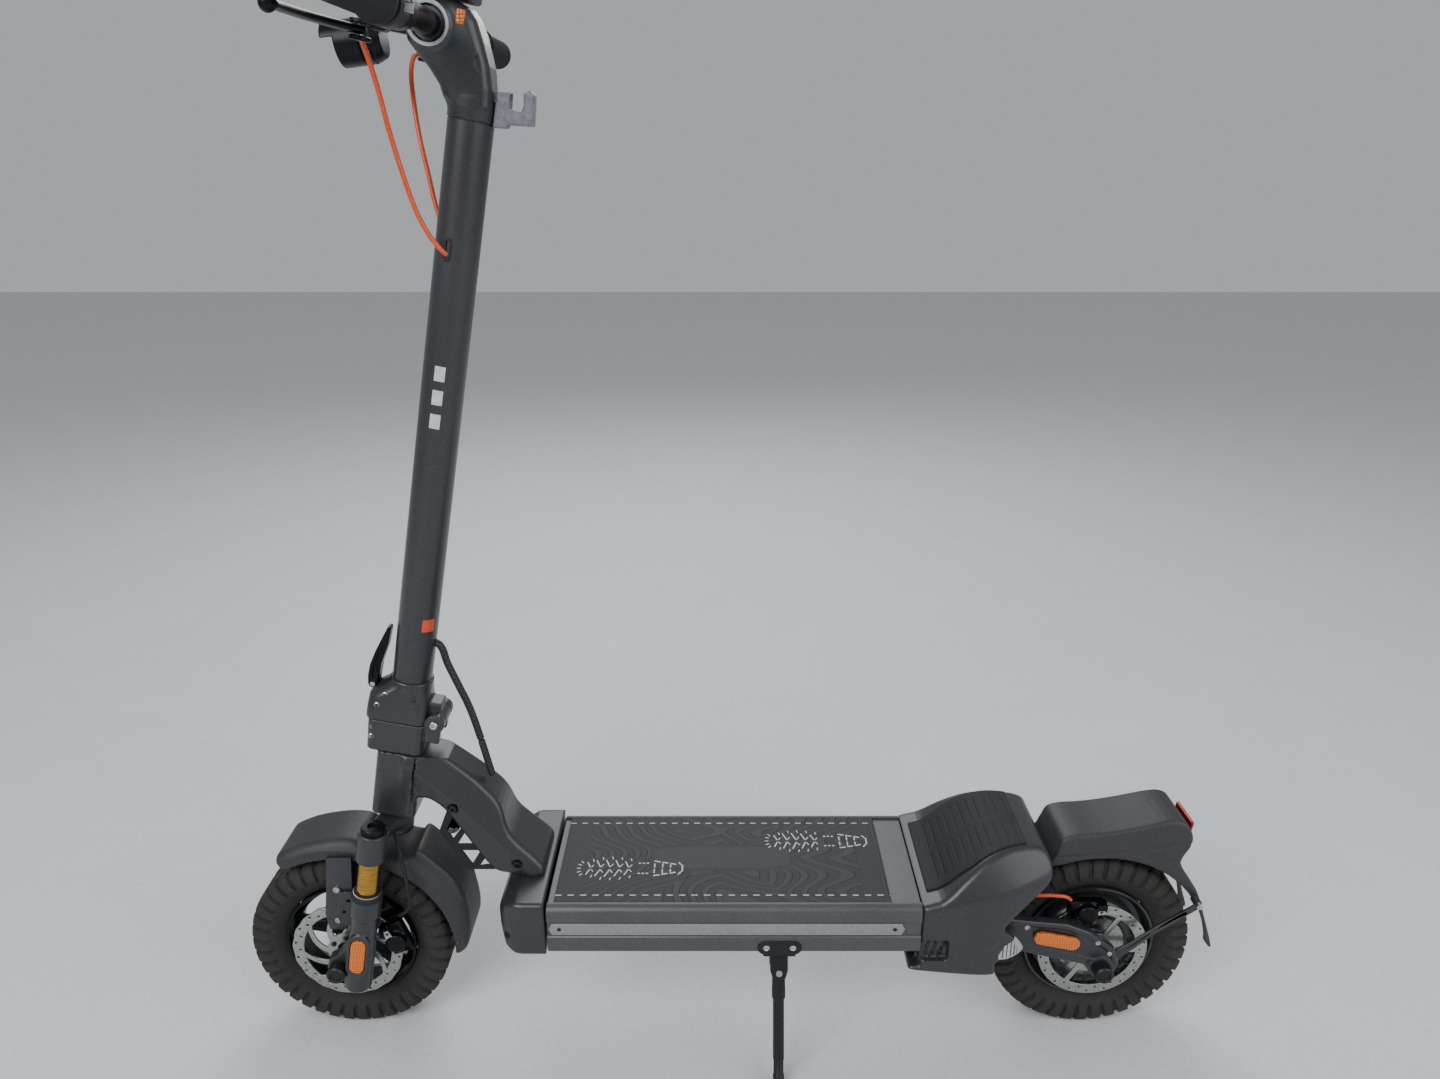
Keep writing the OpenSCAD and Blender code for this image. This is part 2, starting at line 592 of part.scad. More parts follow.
// A fender is a slice of a ring over the tyre, hollow below.
fender_in = tyre_r + 10;
front_w = 82;
module front_side() difference() {
  polygon([[70, 120], [76, 134], [72, 142], [40, 156], [-2, 164], [-30, 161], [-40, 143],
    [-92, 134], [-98, 146], [-108, 140], [-150, 92], [-158, 40], [-156, 8], [-146, -8], [-128, -10],
    [-120, 0], [-100, 40], [10, 40], [12, 110]]);
  circle(r = fender_in);
}
module front_fender() color("#35363c") on_steer() translate([axle_u, 0, axle_w]) rotate([0, rake, 0]) {
  // a tab on each side is bolted to the leg's plate
  both_sides() translate([0, (front_w / 2 + leg_y - 18) / 2 - 0.25, 0])
    across(leg_y - 17.5 - front_w / 2) polygon([[-6, 36], [18, 36], [20, 60], [12, 110], [8, 145],
      [-24, 145], [-18, 80]]);
  difference() {
    across(front_w) front_side();
    cross_rod(tyre_r + 24, front_w - 7);
  }
}

module reflector(l) linear_extrude(5) hull() for (s = [-1, 1]) translate([0, s * (l / 2 - 9)])
  circle(9, $fn = 32);
module front_reflectors() color("#e08a10") on_steer() both_sides()
  translate([leg_u, leg_y + leg_d / 2 - 2.2, 24]) rotate([90, 0, 180]) reflector(50);

module caliper() {
  difference() {
    union() {
      translate([-15, rotor_y - 3.5, -24]) cube([30, 14, 48]);
      translate([-10, rotor_y + 10, -16]) cube([20, 9, 30]);
    }
    translate([-60, rotor_y - 0.6, -60]) cube([120, rotor_t + 1.2, 120]);
  }
}
// The front caliper is behind the leg, the rear one above the swing arm.
module front_caliper() color("#0f0f12") translate([front_x, 0, axle_z]) rotate([0, 20, 0])
  translate([-71, 0, 0]) caliper();

front_wire = [[395, 42, 309], [392, 46, 294], [387, 53, 268], [383, 57, 240], [383, 56, 216],
  [389, 52, 199], [401, 47, 187]];
module front_cable() color("#141416") translate([mid, 0, 0]) tube_along(curve(front_wire, 3), 2.5);

// ---- wheels ----

module tyre() rotate([90, 0, 0]) rotate_extrude($fn = 96) difference() {
  hull() {
    translate([tyre_r - 12, -22]) square([12, 44]);
    for (s = [-1, 1]) {
      translate([tyre_r - 26, s * (tyre_w / 2 - 13)]) circle(13, $fn = 32);
      translate([bead_r + 4, s * 20]) circle(4, $fn = 32);
    }
  }
  translate([bead_r - 5, -16]) square([16, 32]);
}
module rim(hub_r) rotate([90, 0, 0]) {
  rotate_extrude($fn = 96) {
    translate([bead_r - 6, -15.8]) square([5.6, 31.6]);
    for (s = [-1, 1]) translate([bead_r - 4, s * 20.4 - 4.7]) square([3.6, 9.4]);
    translate([bead_r - 12, -4]) square([8, 8]);
    translate([4, -hub_w / 2]) square([hub_r - 4, hub_w]);
  }
  for (k = [0 : 4]) rotate([0, 0, k * 72 + 10]) translate([hub_r - 3, -8, -7])
    cube([bead_r - hub_r - 5, 16, 14]);
}
module rotor() rotate([-90, 0, 0]) difference() {
  cylinder(r = rotor_r, h = rotor_t);
  for (k = [0 : 23]) rotate([0, 0, k * 15]) translate([rotor_r - 6, 0, -1]) cylinder(r = 2, h = 5, $fn = 16);
  for (k = [0 : 5]) rotate([0, 0, k * 60]) translate([0, 0, -1]) linear_extrude(5)
    polygon([[22, 4], [rotor_r - 14, 12], [rotor_r - 13, -8], [26, -8]]);
  translate([0, 0, -1]) cylinder(r = 13, h = 5);
}
module at_front() { translate([front_x, 0, axle_z]) children(); }
module at_rear() { translate([rear_x, 0, axle_z]) children(); }

module front_tyre() color("#2a2928") at_front() tyre();
module front_rim() color("#1b1c1f") at_front() difference() {
  union() {
    rim(24);
    translate([0, hub_w / 2, 0]) rotate([-90, 0, 0]) cylinder(r = 16, h = rotor_y - hub_w / 2);
  }
  cross_rod(axle_r + fit, 200);
}
module front_rotor() color("#b4b6b8") at_front() translate([0, rotor_y, 0]) rotor();

module rear_tyre() color("#2a2928") at_rear() tyre();
module hub_motor() color("#3a3b3f") at_rear() difference() {
  union() {
    rotate([90, 0, 0]) rotate_extrude($fn = 96) {
      translate([bead_r - 6, -15.8]) square([5.6, 31.6]);
      for (s = [-1, 1]) translate([bead_r - 4, s * 20.4 - 4.7]) square([3.6, 9.4]);
      translate([4, -motor_w / 2]) square([motor_r - 4, motor_w]);
      translate([motor_r - 2, -10]) square([bead_r - motor_r, 20]);
    }
    translate([0, motor_w / 2, 0]) rotate([-90, 0, 0]) cylinder(r = 17, h = rotor_y - motor_w / 2);
  }
  cross_rod(axle_r + fit, 200);
}
module rear_rotor() color("#b4b6b8") at_rear() translate([0, rotor_y, 0]) rotor();

// ---- rear arm ----

arm_y = 58;
module swing_arm() color("#36373d") difference() {
  translate([arm_x, 0, arm_z]) {
    both_sides() intersection() {
      translate([0, arm_y + 7, 0]) across(14) polygon([[8, 12], [12, 0], [8, -16], [-10, -30], [-50, -38],
        [-96, -50], [-130, -58], [-142, -72], [-156, -78], [-170, -72], [-176, -58], [-168, -34],
        [-134, -8], [-104, 4], [-62, 8], [-20, 14]]);
      translate([-90, 60, -40]) cube([260, 200, 200], center = true);
    }
    difference() {
      translate([-26, -arm_y - 1, -16]) cube([34, 2 * arm_y + 2, 28]);
      translate([-100, -20, -6]) cube([90, 40, 40]);
    }
  }
  translate([arm_x, 0, arm_z]) cross_rod(arm_pin_r + fit, 300);
  translate([rear_x, 0, axle_z]) cross_rod(axle_r, 300);
  translate([rear_x, 0, axle_z]) cross_rod(tyre_r + 7, tyre_w + 8);
}

rear_w = 84;
module rear_fender() color("#35363c") {
  rear_fender_shell();
  // a stay on each side runs from the arm's end to the fender
  at_rear() both_sides() {
    translate([0, arm_y - 2, 0]) across(4) polygon([[-10, 6], [-18, -6], [-70, 42], [-119, 80],
      [-115, 87], [-65, 50]]);
    translate([-120, rear_w / 2 - 2, 79]) cube([8, arm_y - rear_w / 2 + 2, 8]);
  }
}
module rear_fender_shell() difference() {
  at_rear() across(rear_w) difference() {
    polygon([[76, 104], [74, 124], [60, 148], [56, 166], [40, 172], [9, 173], [-30, 180], [-83, 193],
      [-100, 186], [-107, 162], [-92, 136], [-96, 126], [-110, 106], [-122, 88], [-138, 44],
      [-flap_reach, 4], [4 - flap_reach, 2], [-132, 26], [-116, 66], [0, 110]]);
    circle(tyre_r + 12);
  }
  at_rear() cross_rod(tyre_r + 26, rear_w - 7);
}
module rear_reflectors() color("#e08a10") both_sides()
  translate([rear_x + 60, arm_y + 14.2, axle_z + 44]) rotate([90, -78, 180]) reflector(58);
module rear_axle() color("#1b1b1e") at_rear() axle_with_caps(arm_y + 26);
module rear_caliper() color("#0f0f12") at_rear() translate([20, 0, 64]) difference() {
  translate([-34, rotor_y - 3.5, -14]) cube([60, arm_y - rotor_y + 3.5, 32]);
  translate([-80, rotor_y - 0.6, -80]) cube([160, rotor_t + 1.2, 160]);
}

module tail_light() color("#7a1414") at_rear() translate([-105.4, 0, 172]) rotate([0, 8, 0])
  translate([-4, -24, -8]) cube([4, 48, 16]);
rear_wire = [[-351, 50, 218], [-366, 50, 219], [-390, 50, 220], [-412, 50, 220], [-428, 50, 218],
  [-436, 49, 212]];
module rear_cable() color("#c8440f") translate([mid, 0, 0]) tube_along(curve(rear_wire, 2), 2.5);

// ---- drawing ----

deck_frame();
deck_mat();
nose_casting();
neck_casting();
headset_bearings();
neck_bracket();
frame_bolts();
horn();
battery_pack();
controller();
charge_port();
charge_cap();
rear_casting();
kick_pad();
kickstand_mount();
swingarm_pin();
steerer_crown();
stanchions();
rear_cable();
fold_base();
fold_pin();
fold_head();
fold_lever();
stem_tube();
stem_head();
handlebar();
grips();
side_markers();
display();
tail_light();
headlight_shell();
headlight_lens();
bag_hook();
lever_perches();
brake_lever_left();
brake_lever_right();
control_housings();
throttle_lever();
signal_switch();
brake_cables();
stem_loom();
fork_lowers();
fork_wipers();
front_axle();
front_fender();
front_reflectors();
front_caliper();
front_cable();
front_tyre();
front_rim();
front_rotor();
swing_arm();
rear_fender();
rear_reflectors();
rear_axle();
rear_caliper();
rear_tyre();
hub_motor();
rear_rotor();
kickstand_leg();
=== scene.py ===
# Electric kick scooter: the looks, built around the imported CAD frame.
import json
import math

import bmesh
import bpy
import numpy as np
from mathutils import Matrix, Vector


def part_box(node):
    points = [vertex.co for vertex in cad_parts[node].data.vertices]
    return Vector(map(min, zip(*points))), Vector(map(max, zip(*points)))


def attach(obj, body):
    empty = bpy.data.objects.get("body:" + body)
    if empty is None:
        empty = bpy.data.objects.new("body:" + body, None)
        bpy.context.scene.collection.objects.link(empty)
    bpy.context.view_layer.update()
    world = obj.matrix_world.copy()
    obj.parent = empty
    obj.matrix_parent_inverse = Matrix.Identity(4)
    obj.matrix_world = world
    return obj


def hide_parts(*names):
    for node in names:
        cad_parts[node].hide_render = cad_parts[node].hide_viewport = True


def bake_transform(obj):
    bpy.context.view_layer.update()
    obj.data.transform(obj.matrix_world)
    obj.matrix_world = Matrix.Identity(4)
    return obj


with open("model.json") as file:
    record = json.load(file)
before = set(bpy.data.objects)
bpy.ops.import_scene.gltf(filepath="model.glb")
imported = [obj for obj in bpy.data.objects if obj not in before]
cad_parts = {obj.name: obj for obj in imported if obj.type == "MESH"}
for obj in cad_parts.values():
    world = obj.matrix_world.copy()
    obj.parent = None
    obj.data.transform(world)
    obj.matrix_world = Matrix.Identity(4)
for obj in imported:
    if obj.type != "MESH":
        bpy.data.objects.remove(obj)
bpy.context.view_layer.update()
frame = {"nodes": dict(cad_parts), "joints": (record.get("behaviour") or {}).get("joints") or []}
mm = 0.001
nodes = frame["nodes"]
print("frame loaded:", len(nodes), "nodes")


# Places taken from the frame, in metres.

# A joint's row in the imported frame.
def joint(name):
    return next(j for j in frame["joints"] if j["name"] == name)


steerPos = np.array(joint("steering")["pos_m"])
steerUp = np.array(joint("steering")["axis"])
steerAhead = np.array([steerUp[2], 0.0, -steerUp[0]])
frontAxle = np.array(joint("front_spin")["pos_m"])
rearAxle = np.array(joint("rear_spin")["pos_m"])
standPivot = np.array(joint("kickstand_fold")["pos_m"])
tyreRadius = frontAxle[2]
middle = 0.5 * (frontAxle[0] + rearAxle[0])
stemTop = 1004        # mm from axle height up the steering axis to the stem tube's end
barAhead, barUp = 44, 1081   # the handlebar, mm ahead of and up the steering axis


# Points given as ahead of, left of and up along the steering axis, in mm, become frame points in metres.
def onSteer(points):
    p = np.asarray(points, float) * mm
    return steerPos + p[..., :1] * steerAhead + p[..., 1:2] * np.array([0, 1, 0]) + p[..., 2:] * steerUp


view = {
    "lens": 26.25, "sensor": 36.0,       # millimetres
    "pitch": 20.0,                       # degrees down, seen in the scooter's own upright frame
    "distance": 1.120, "height": 1.078,  # metres to the left of the scooter and above the floor
}


# The camera: beside the left side, above and looking down.
def makeCamera():
    data = bpy.data.cameras.new("camera")
    data.lens = view["lens"]
    data.sensor_width = view["sensor"]
    cam = bpy.data.objects.new("camera", data)
    cam.location = (middle, view["distance"], view["height"])
    cam.rotation_euler = (math.radians(90 - view["pitch"]), 0, math.pi)
    bpy.context.scene.collection.objects.link(cam)
    bpy.context.scene.camera = cam


# A soft square area light aimed at a point.
def makeLight(name, place, target, size, power, colour=(1, 1, 1)):
    data = bpy.data.lights.new(name, "AREA")
    data.size = size
    data.energy = power
    data.color = colour
    lamp = bpy.data.objects.new(name, data)
    lamp.location = place
    lamp.rotation_euler = (Vector(target) - Vector(place)).to_track_quat("-Z", "Y").to_euler()
    bpy.context.scene.collection.objects.link(lamp)


# A plain pale floor, the world's light and the area lights.
def makeStudio():
    world = bpy.data.worlds.new("studio")
    bpy.context.scene.world = world
    world.use_nodes = True
    world.node_tree.nodes["Background"].inputs[0].default_value = (0.75, 0.78, 0.82, 1)
    world.node_tree.nodes["Background"].inputs[1].default_value = 0.55
    makeLight("key", (1.6, 2.4, 2.6), (0, 0, 0.4), 2.0, 90)
    makeLight("fill", (-2.2, 1.6, 1.8), (0, 0, 0.4), 2.4, 45)
    makeLight("rim", (0.2, -2.2, 2.4), (0, 0, 0.5), 2.0, 45)
    mesh = bpy.data.meshes.new("studio_floor")
    mesh.from_pydata([(-8, -8, 0), (8, -8, 0), (8, 8, 0), (-8, 8, 0)], [], [(0, 1, 2, 3)])
    floor = bpy.data.objects.new("studio_floor", mesh)
    bpy.context.scene.collection.objects.link(floor)
    floor.data.materials.append(floorPaint())


# An sRGB hex code becomes linear red, green, blue and alpha.
def linear(code):
    c = np.array([int(code[i:i + 2], 16) for i in (1, 3, 5)]) / 255
    c = np.where(c <= 0.04045, c / 12.92, ((c + 0.055) / 1.055) ** 2.4)
    return (*[float(v) for v in c], 1.0)


# Adds a node, sets its properties and plain inputs, and joins the named inputs to sockets.
def addNode(tree, kind, settings=None, **links):
    node = tree.nodes.new(kind)
    for key, value in (settings or {}).items():
        if isinstance(key, str) and hasattr(node, key):
            setattr(node, key, value)
        else:
            node.inputs[key].default_value = value
    for key, socket in links.items():
        name = key.replace("_", " ")
        slotKey = int(key[2:]) if key.startswith("in") and key[2:].isdigit() else name
        tree.links.new(socket, node.inputs[slotKey])
    return node


# A material with an empty Principled surface and Object coordinates in metres.
def newMaterial(name):
    mat = bpy.data.materials.new(name)
    mat.use_nodes = True
    tree = mat.node_tree
    shader = tree.nodes["Principled BSDF"]
    place = addNode(tree, "ShaderNodeTexCoord").outputs["Object"]
    return mat, tree, shader, place


# A colour ramp from a list of (position, hex colour).
def ramp(tree, value, stops):
    node = addNode(tree, "ShaderNodeValToRGB", Fac=value)
    items = node.color_ramp.elements
    while len(items) < len(stops):
        items.new(0.5)
    for item, (pos, code) in zip(items, stops):
        item.position = pos
        item.color = linear(code)
    return node.outputs["Color"]


# Relief on a surface: a height from 0 to 1 raised by the given distance in metres.
def bumped(tree, shader, height, distance, strength=1.0, normal=None):
    links = {"Height": height}
    if normal is not None:
        links["Normal"] = normal
    node = addNode(tree, "ShaderNodeBump", {"Distance": distance, "Strength": strength}, **links)
    tree.links.new(node.outputs["Normal"], shader.inputs["Normal"])
    return node.outputs["Normal"]


# Tone = ramp(mix of fine and slow noise); roughness = the set value -0.06 to +0.08 with the slow noise;
# relief = the fine noise, its grain and height given in mm.
def speckled(name, light, dark, rough, metal=0.0, grain=0.4, relief=0.02, wear=0.25, coat=0.0):
    mat, tree, shader, place = newMaterial(name)
    fine = addNode(tree, "ShaderNodeTexNoise", {"Scale": 1000 / grain / 4, "Detail": 2.0}, Vector=place)
    slow = addNode(tree, "ShaderNodeTexNoise", {"Scale": 9.0, "Detail": 3.0}, Vector=place)
    mix = addNode(tree, "ShaderNodeMix", {"data_type": "FLOAT", "Factor": wear}, in2=fine.outputs["Fac"],
                  in3=slow.outputs["Fac"])
    tree.links.new(ramp(tree, mix.outputs[0], [(0.35, dark), (0.65, light)]), shader.inputs["Base Color"])
    shade = addNode(tree, "ShaderNodeMapRange", {"To Min": rough - 0.06, "To Max": rough + 0.08},
                    Value=slow.outputs["Fac"])
    tree.links.new(shade.outputs[0], shader.inputs["Roughness"])
    shader.inputs["Metallic"].default_value = metal
    if coat:
        shader.inputs["Coat Weight"].default_value = coat
        shader.inputs["Coat Roughness"].default_value = 0.25
    bumped(tree, shader, fine.outputs["Fac"], relief * mm, 0.6)
    return mat


# Pale floor: the speckled finish with a 2 mm grain and hardly any relief.
def floorPaint():
    return speckled("pale_floor", "#d3d4d6", "#cbccce", 0.6, grain=2.0, relief=0.01)


# Drawn steel: roughness and tone follow noise stretched 30 times along one direction.
def brushed(name, light, dark, rough, along=(30, 1, 30), metal=1.0):
    mat, tree, shader, place = newMaterial(name)
    stretch = addNode(tree, "ShaderNodeMapping", {"Scale": along}, Vector=place)
    hair = addNode(tree, "ShaderNodeTexNoise", {"Scale": 60.0, "Detail": 4.0}, Vector=stretch.outputs[0])
    tree.links.new(ramp(tree, hair.outputs["Fac"], [(0.3, dark), (0.7, light)]), shader.inputs["Base Color"])
    shade = addNode(tree, "ShaderNodeMapRange", {"To Min": rough - 0.06, "To Max": rough + 0.1},
                    Value=hair.outputs["Fac"])
    tree.links.new(shade.outputs[0], shader.inputs["Roughness"])
    shader.inputs["Metallic"].default_value = metal
    bumped(tree, shader, hair.outputs["Fac"], 0.01 * mm, 0.4)
    return mat


# Moulded reflector: cells of the given size in mm, each tilted by the distance to its middle.
def prismatic(name, light, dark, cell):
    mat, tree, shader, place = newMaterial(name)
    cells = addNode(tree, "ShaderNodeTexVoronoi", {"Scale": 1000 / cell, "Randomness": 0.0}, Vector=place)
    tree.links.new(ramp(tree, cells.outputs["Distance"], [(0.1, light), (0.75, dark)]),
                   shader.inputs["Base Color"])
    shader.inputs["Roughness"].default_value = 0.12
    shader.inputs["Coat Weight"].default_value = 0.3
    shader.inputs["Coat Roughness"].default_value = 0.1
    bumped(tree, shader, cells.outputs["Distance"], 0.5 * mm)
    return mat


# Braided sleeve: two crossed sets of bands along the piece's own length and turn coordinates; the colour is
# painted darker in the low gaps between the bands, as painted shade.
def braided(name, light, dark, pitch=2.2):
    mat, tree, shader = newMaterial(name)[:3]
    split = addNode(tree, "ShaderNodeSeparateXYZ",
                    Vector=addNode(tree, "ShaderNodeUVMap", {"uv_map": "lengthTurn"}).outputs[0])
    heights = []
    for sign in (1, -1):
        turn = addNode(tree, "ShaderNodeMath", {"operation": "MULTIPLY", 1: sign * 5.0}, in0=split.outputs[1])
        run = addNode(tree, "ShaderNodeMath", {"operation": "MULTIPLY_ADD", 1: 1000 / pitch / 3},
                      in0=split.outputs[0],
                      in2=turn.outputs[0])
        cycle = addNode(tree, "ShaderNodeMath", {"operation": "MULTIPLY", 1: 2 * math.pi}, in0=run.outputs[0])
        heights.append(addNode(tree, "ShaderNodeMath", {"operation": "SINE"}, in0=cycle.outputs[0]).outputs[0])
    top = addNode(tree, "ShaderNodeMath", {"operation": "MAXIMUM"}, in0=heights[0], in1=heights[1])
    # painted shade: the sleeve's colour follows the band height, dark in the gaps between strands, lighter on
    # their tops
    tree.links.new(ramp(tree, top.outputs[0], [(0.1, dark), (0.9, light)]), shader.inputs["Base Color"])
    shader.inputs["Roughness"].default_value = 0.55
    bumped(tree, shader, top.outputs[0], 0.25 * mm)
    return mat


# Clear polycarbonate over a bright reflector bowl.
def clearLens():
    mat, tree, shader, place = newMaterial("clear_lens")
    cells = addNode(tree, "ShaderNodeTexVoronoi", {"Scale": 220.0, "Randomness": 0.1}, Vector=place)
    tree.links.new(ramp(tree, cells.outputs["Distance"], [(0.1, "#f2f6f8"), (0.8, "#b8c2c8")]),
                   shader.inputs["Base Color"])
    shader.inputs["Roughness"].default_value = 0.08
    shader.inputs["IOR"].default_value = 1.58
    shader.inputs["Transmission Weight"].default_value = 0.35
    bumped(tree, shader, cells.outputs["Distance"], 0.2 * mm)
    return mat


# Deck mat: contour lines = sine of a warped height map at a 9 mm spacing, a plain stadium in the middle,
# a dotted band at each end and a paler dashed line along both edges; the rubber is painted darker in the low
# grooves and lighter on the raised relief, as painted shade.
def matRubber():
    mat, tree, shader, place = newMaterial("mat_rubber")
    split = addNode(tree, "ShaderNodeSeparateXYZ", Vector=place)

    def math2(kind, a, b=0.0, c=0.0, clamp=False):
        node = tree.nodes.new("ShaderNodeMath")
        node.operation = kind
        node.use_clamp = clamp
        for i, v in enumerate((a, b, c)):
            if isinstance(v, (int, float)):
                node.inputs[i].default_value = v
            else:
                tree.links.new(v, node.inputs[i])
        return node.outputs[0]

    x = math2("MULTIPLY_ADD", split.outputs[0], 1000.0, -matArt["centre"])
    y = math2("MULTIPLY", split.outputs[1], 1000.0)
    sideways = math2("ABSOLUTE", y)
    warp = addNode(tree, "ShaderNodeTexNoise", {"Scale": 11.0, "Detail": 1.0},
                   Vector=addNode(tree, "ShaderNodeMapping", {"Scale": (0.32, 1, 1)},
                                  Vector=place).outputs[0]).outputs["Fac"]
    vee = math2("ABSOLUTE", math2("SUBTRACT", math2("ABSOLUTE", x), math2("MULTIPLY", sideways, 1.1)))
    field = math2("MULTIPLY_ADD", warp, 130.0, math2("MULTIPLY", vee, 0.35))
    lines = math2("SINE", math2("MULTIPLY", field, 2 * math.pi / matArt["linePitch"]))
    raised = addNode(tree, "ShaderNodeMapRange", {"From Min": -0.15, "From Max": 0.25}, Value=lines).outputs[0]
    badge = math2("LESS_THAN", math2("ADD", math2("POWER", math2("DIVIDE", x, 86.0), 4.0),
                                     math2("POWER", math2("DIVIDE", y, 22.0), 4.0)), 1.0)
    rim = math2("LESS_THAN", math2("ADD", math2("POWER", math2("DIVIDE", x, 92.0), 4.0),
                                   math2("POWER", math2("DIVIDE", y, 27.0), 4.0)), 1.0)
    dots = addNode(tree, "ShaderNodeTexVoronoi", {"Scale": 1000 / matArt["dotPitch"], "Randomness": 0.0},
                   Vector=place).outputs["Distance"]
    dotted = math2("LESS_THAN", dots, 0.42)
    ends = math2("GREATER_THAN", math2("ABSOLUTE", x), matArt["dotsFrom"])
    relief = math2("ADD", math2("MULTIPLY", raised, math2("SUBTRACT", 1.0, ends)),
                   math2("MULTIPLY", dotted, ends))
    relief = math2("ADD", math2("MULTIPLY", relief, math2("SUBTRACT", 1.0, rim)), math2("MULTIPLY", badge, 0.8))
    dash = math2("MULTIPLY", math2("LESS_THAN", math2("ABSOLUTE",
                                                      math2("SUBTRACT", sideways, matArt["dashAt"])), 0.7),
                 math2("GREATER_THAN", math2("SINE", math2("MULTIPLY", x, 2 * math.pi / matArt["dashPitch"])),
                       0.0))
    grain = addNode(tree, "ShaderNodeTexNoise", {"Scale": 900.0, "Detail": 2.0}, Vector=place).outputs["Fac"]
    # painted shade: the rubber's colour follows the relief, darker in the low grooves, lighter on the raised
    # lines, dots and stadium
    tone = ramp(tree, relief, [(0.0, "#1a1b1d"), (1.0, "#26272a")])
    paint = addNode(tree, "ShaderNodeMix", {"data_type": "RGBA", 7: linear("#c9cbce")}, in0=dash, in6=tone)
    tree.links.new(paint.outputs[2], shader.inputs["Base Color"])
    shader.inputs["Roughness"].default_value = 0.62
    bumped(tree, shader, math2("MULTIPLY_ADD", grain, 0.12, relief), 0.7 * mm)
    return mat


matArt = {"centre": 9.75, "linePitch": 9.0, "dotPitch": 4.5, "dotsFrom": 172.0, "dashAt": 73.0,
          "dashPitch": 15.0}  # millimetres

paints = {
    # satin metallic powder coat on cast and extruded aluminium
    "gunmetal": speckled("gunmetal_paint", "#3a3b3e", "#303134", 0.36, 0.45, 0.5, 0.012, coat=0.25),
    # painted steel brackets and the kickstand
    "black_metal": speckled("black_metal_paint", "#1b1c1f", "#131417", 0.42, 0.3, 0.5, 0.02),
    # anodised aluminium
    "black_alloy": speckled("black_anodised", "#202125", "#17181b", 0.33, 0.8, 0.3, 0.01),
    "steel": brushed("bright_steel", "#c9cacc", "#a2a4a7", 0.28),
    "gold": brushed("gold_anodised", "#c29a4a", "#9c7530", 0.22, (1, 1, 12)),
    "black_plastic": speckled("black_plastic", "#1c1d20", "#141518", 0.45, 0.0, 0.8, 0.03),
    "grey_plastic": speckled("grey_plastic", "#a4a7ab", "#8b8e93", 0.5, 0.0, 0.8, 0.03),
    "rubber": speckled("soft_rubber", "#191a1c", "#101113", 0.72, 0.0, 1.0, 0.05),
    "tyre": speckled("tyre_rubber", "#2d2c2a", "#1d1c1b", 0.82, 0.0, 1.6, 0.12, wear=0.6),
    "amber": prismatic("amber_reflector", "#f27a06", "#8a3c02", 3.2),
    "red": prismatic("red_reflector", "#b81515", "#4a0505", 3.2),
    "cable_orange": speckled("orange_cable", "#d24e14", "#b53c0a", 0.38, 0.0, 0.6, 0.01, coat=0.3),
    "lens": clearLens(),
    "battery_wrap": speckled("battery_wrap", "#2d5f8a", "#254f74", 0.35, 0.0, 0.8, 0.02),
    "screen": speckled("dark_glass", "#0c0d10", "#090a0c", 0.08, 0.0, 0.5, 0.0, coat=1.0),
    "hook_grey": speckled("hook_grey", "#84878d", "#6c6f75", 0.55, 0.3, 1.2, 0.06),
    "side_silver": speckled("side_silver", "#8f9093", "#7f8083", 0.4, 0.3, 0.5, 0.01),
    "deck_alloy": speckled("deck_powder_coat", "#58595c", "#4b4c4f", 0.4, 0.5, 0.5, 0.012),
    "sticker": prismatic("reflective_sticker", "#b9bcc2", "#8b8f96", 3.2),
    "sticker_dark": speckled("label_film", "#2b2c30", "#232428", 0.4),
    "fender": speckled("fender_plastic", "#313235", "#28292b", 0.5, 0.1, 0.9, 0.04),
    "braid": braided("braided_sleeve", "#2b2b2f", "#0b0b0d"),
    "mat": matRubber(),
    "sole_white": speckled("sole_ink", "#c4c6c9", "#aeb0b4", 0.6, 0.0, 1.0, 0.0),
    "rotor": brushed("rotor_steel", "#b9b9b6", "#8f8f8c", 0.3, (8, 8, 8)),
}


# A mesh object from points in metres and arrays of faces; it rides on the body and stands for the CAD nodes.
def addPiece(name, points, faces, body, paint, stands=(), sharp=38, uv=None):
    mesh = bpy.data.meshes.new(name)
    points = np.asarray(points, np.float32)
    faces = [np.asarray(f, np.int32) for f in faces if len(f)]
    sizes = np.concatenate([np.full(len(f), f.shape[1], np.int32) for f in faces])
    loops = np.concatenate([f.ravel() for f in faces])
    mesh.vertices.add(len(points))
    mesh.vertices.foreach_set("co", points.ravel())
    mesh.loops.add(len(loops))
    mesh.loops.foreach_set("vertex_index", loops)
    mesh.polygons.add(len(sizes))
    mesh.polygons.foreach_set("loop_start", np.concatenate([[0], np.cumsum(sizes)[:-1]]).astype(np.int32))
    mesh.polygons.foreach_set("use_smooth", np.ones(len(sizes), bool))
    mesh.update(calc_edges=True)
    mesh.validate()
    mesh.set_sharp_from_angle(angle=math.radians(sharp))
    if uv is not None:
        layer = mesh.uv_layers.new(name="lengthTurn")
        order = np.empty(len(mesh.loops), np.int32)
        mesh.loops.foreach_get("vertex_index", order)
        layer.data.foreach_set("uv", np.asarray(uv, np.float32)[order].ravel())
    mesh.materials.append(paints[paint])
    obj = bpy.data.objects.new(name, mesh)
    bpy.context.scene.collection.objects.link(obj)
    if body:
        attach(obj, body)
    if stands:
        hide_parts(*stands)
    return obj


# Faces of a grid of rows by columns; wrapped joins the last column to the first.
def gridFaces(rows, cols, wrapped=True, rowsWrapped=False):
    r = np.arange(rows if rowsWrapped else rows - 1)[:, None]
    c = np.arange(cols if wrapped else cols - 1)[None, :]
    r2, c2 = (r + 1) % rows, (c + 1) % cols
    return np.stack([r * cols + c, r * cols + c2, r2 * cols + c2, r2 * cols + c], -1).reshape(-1, 4)


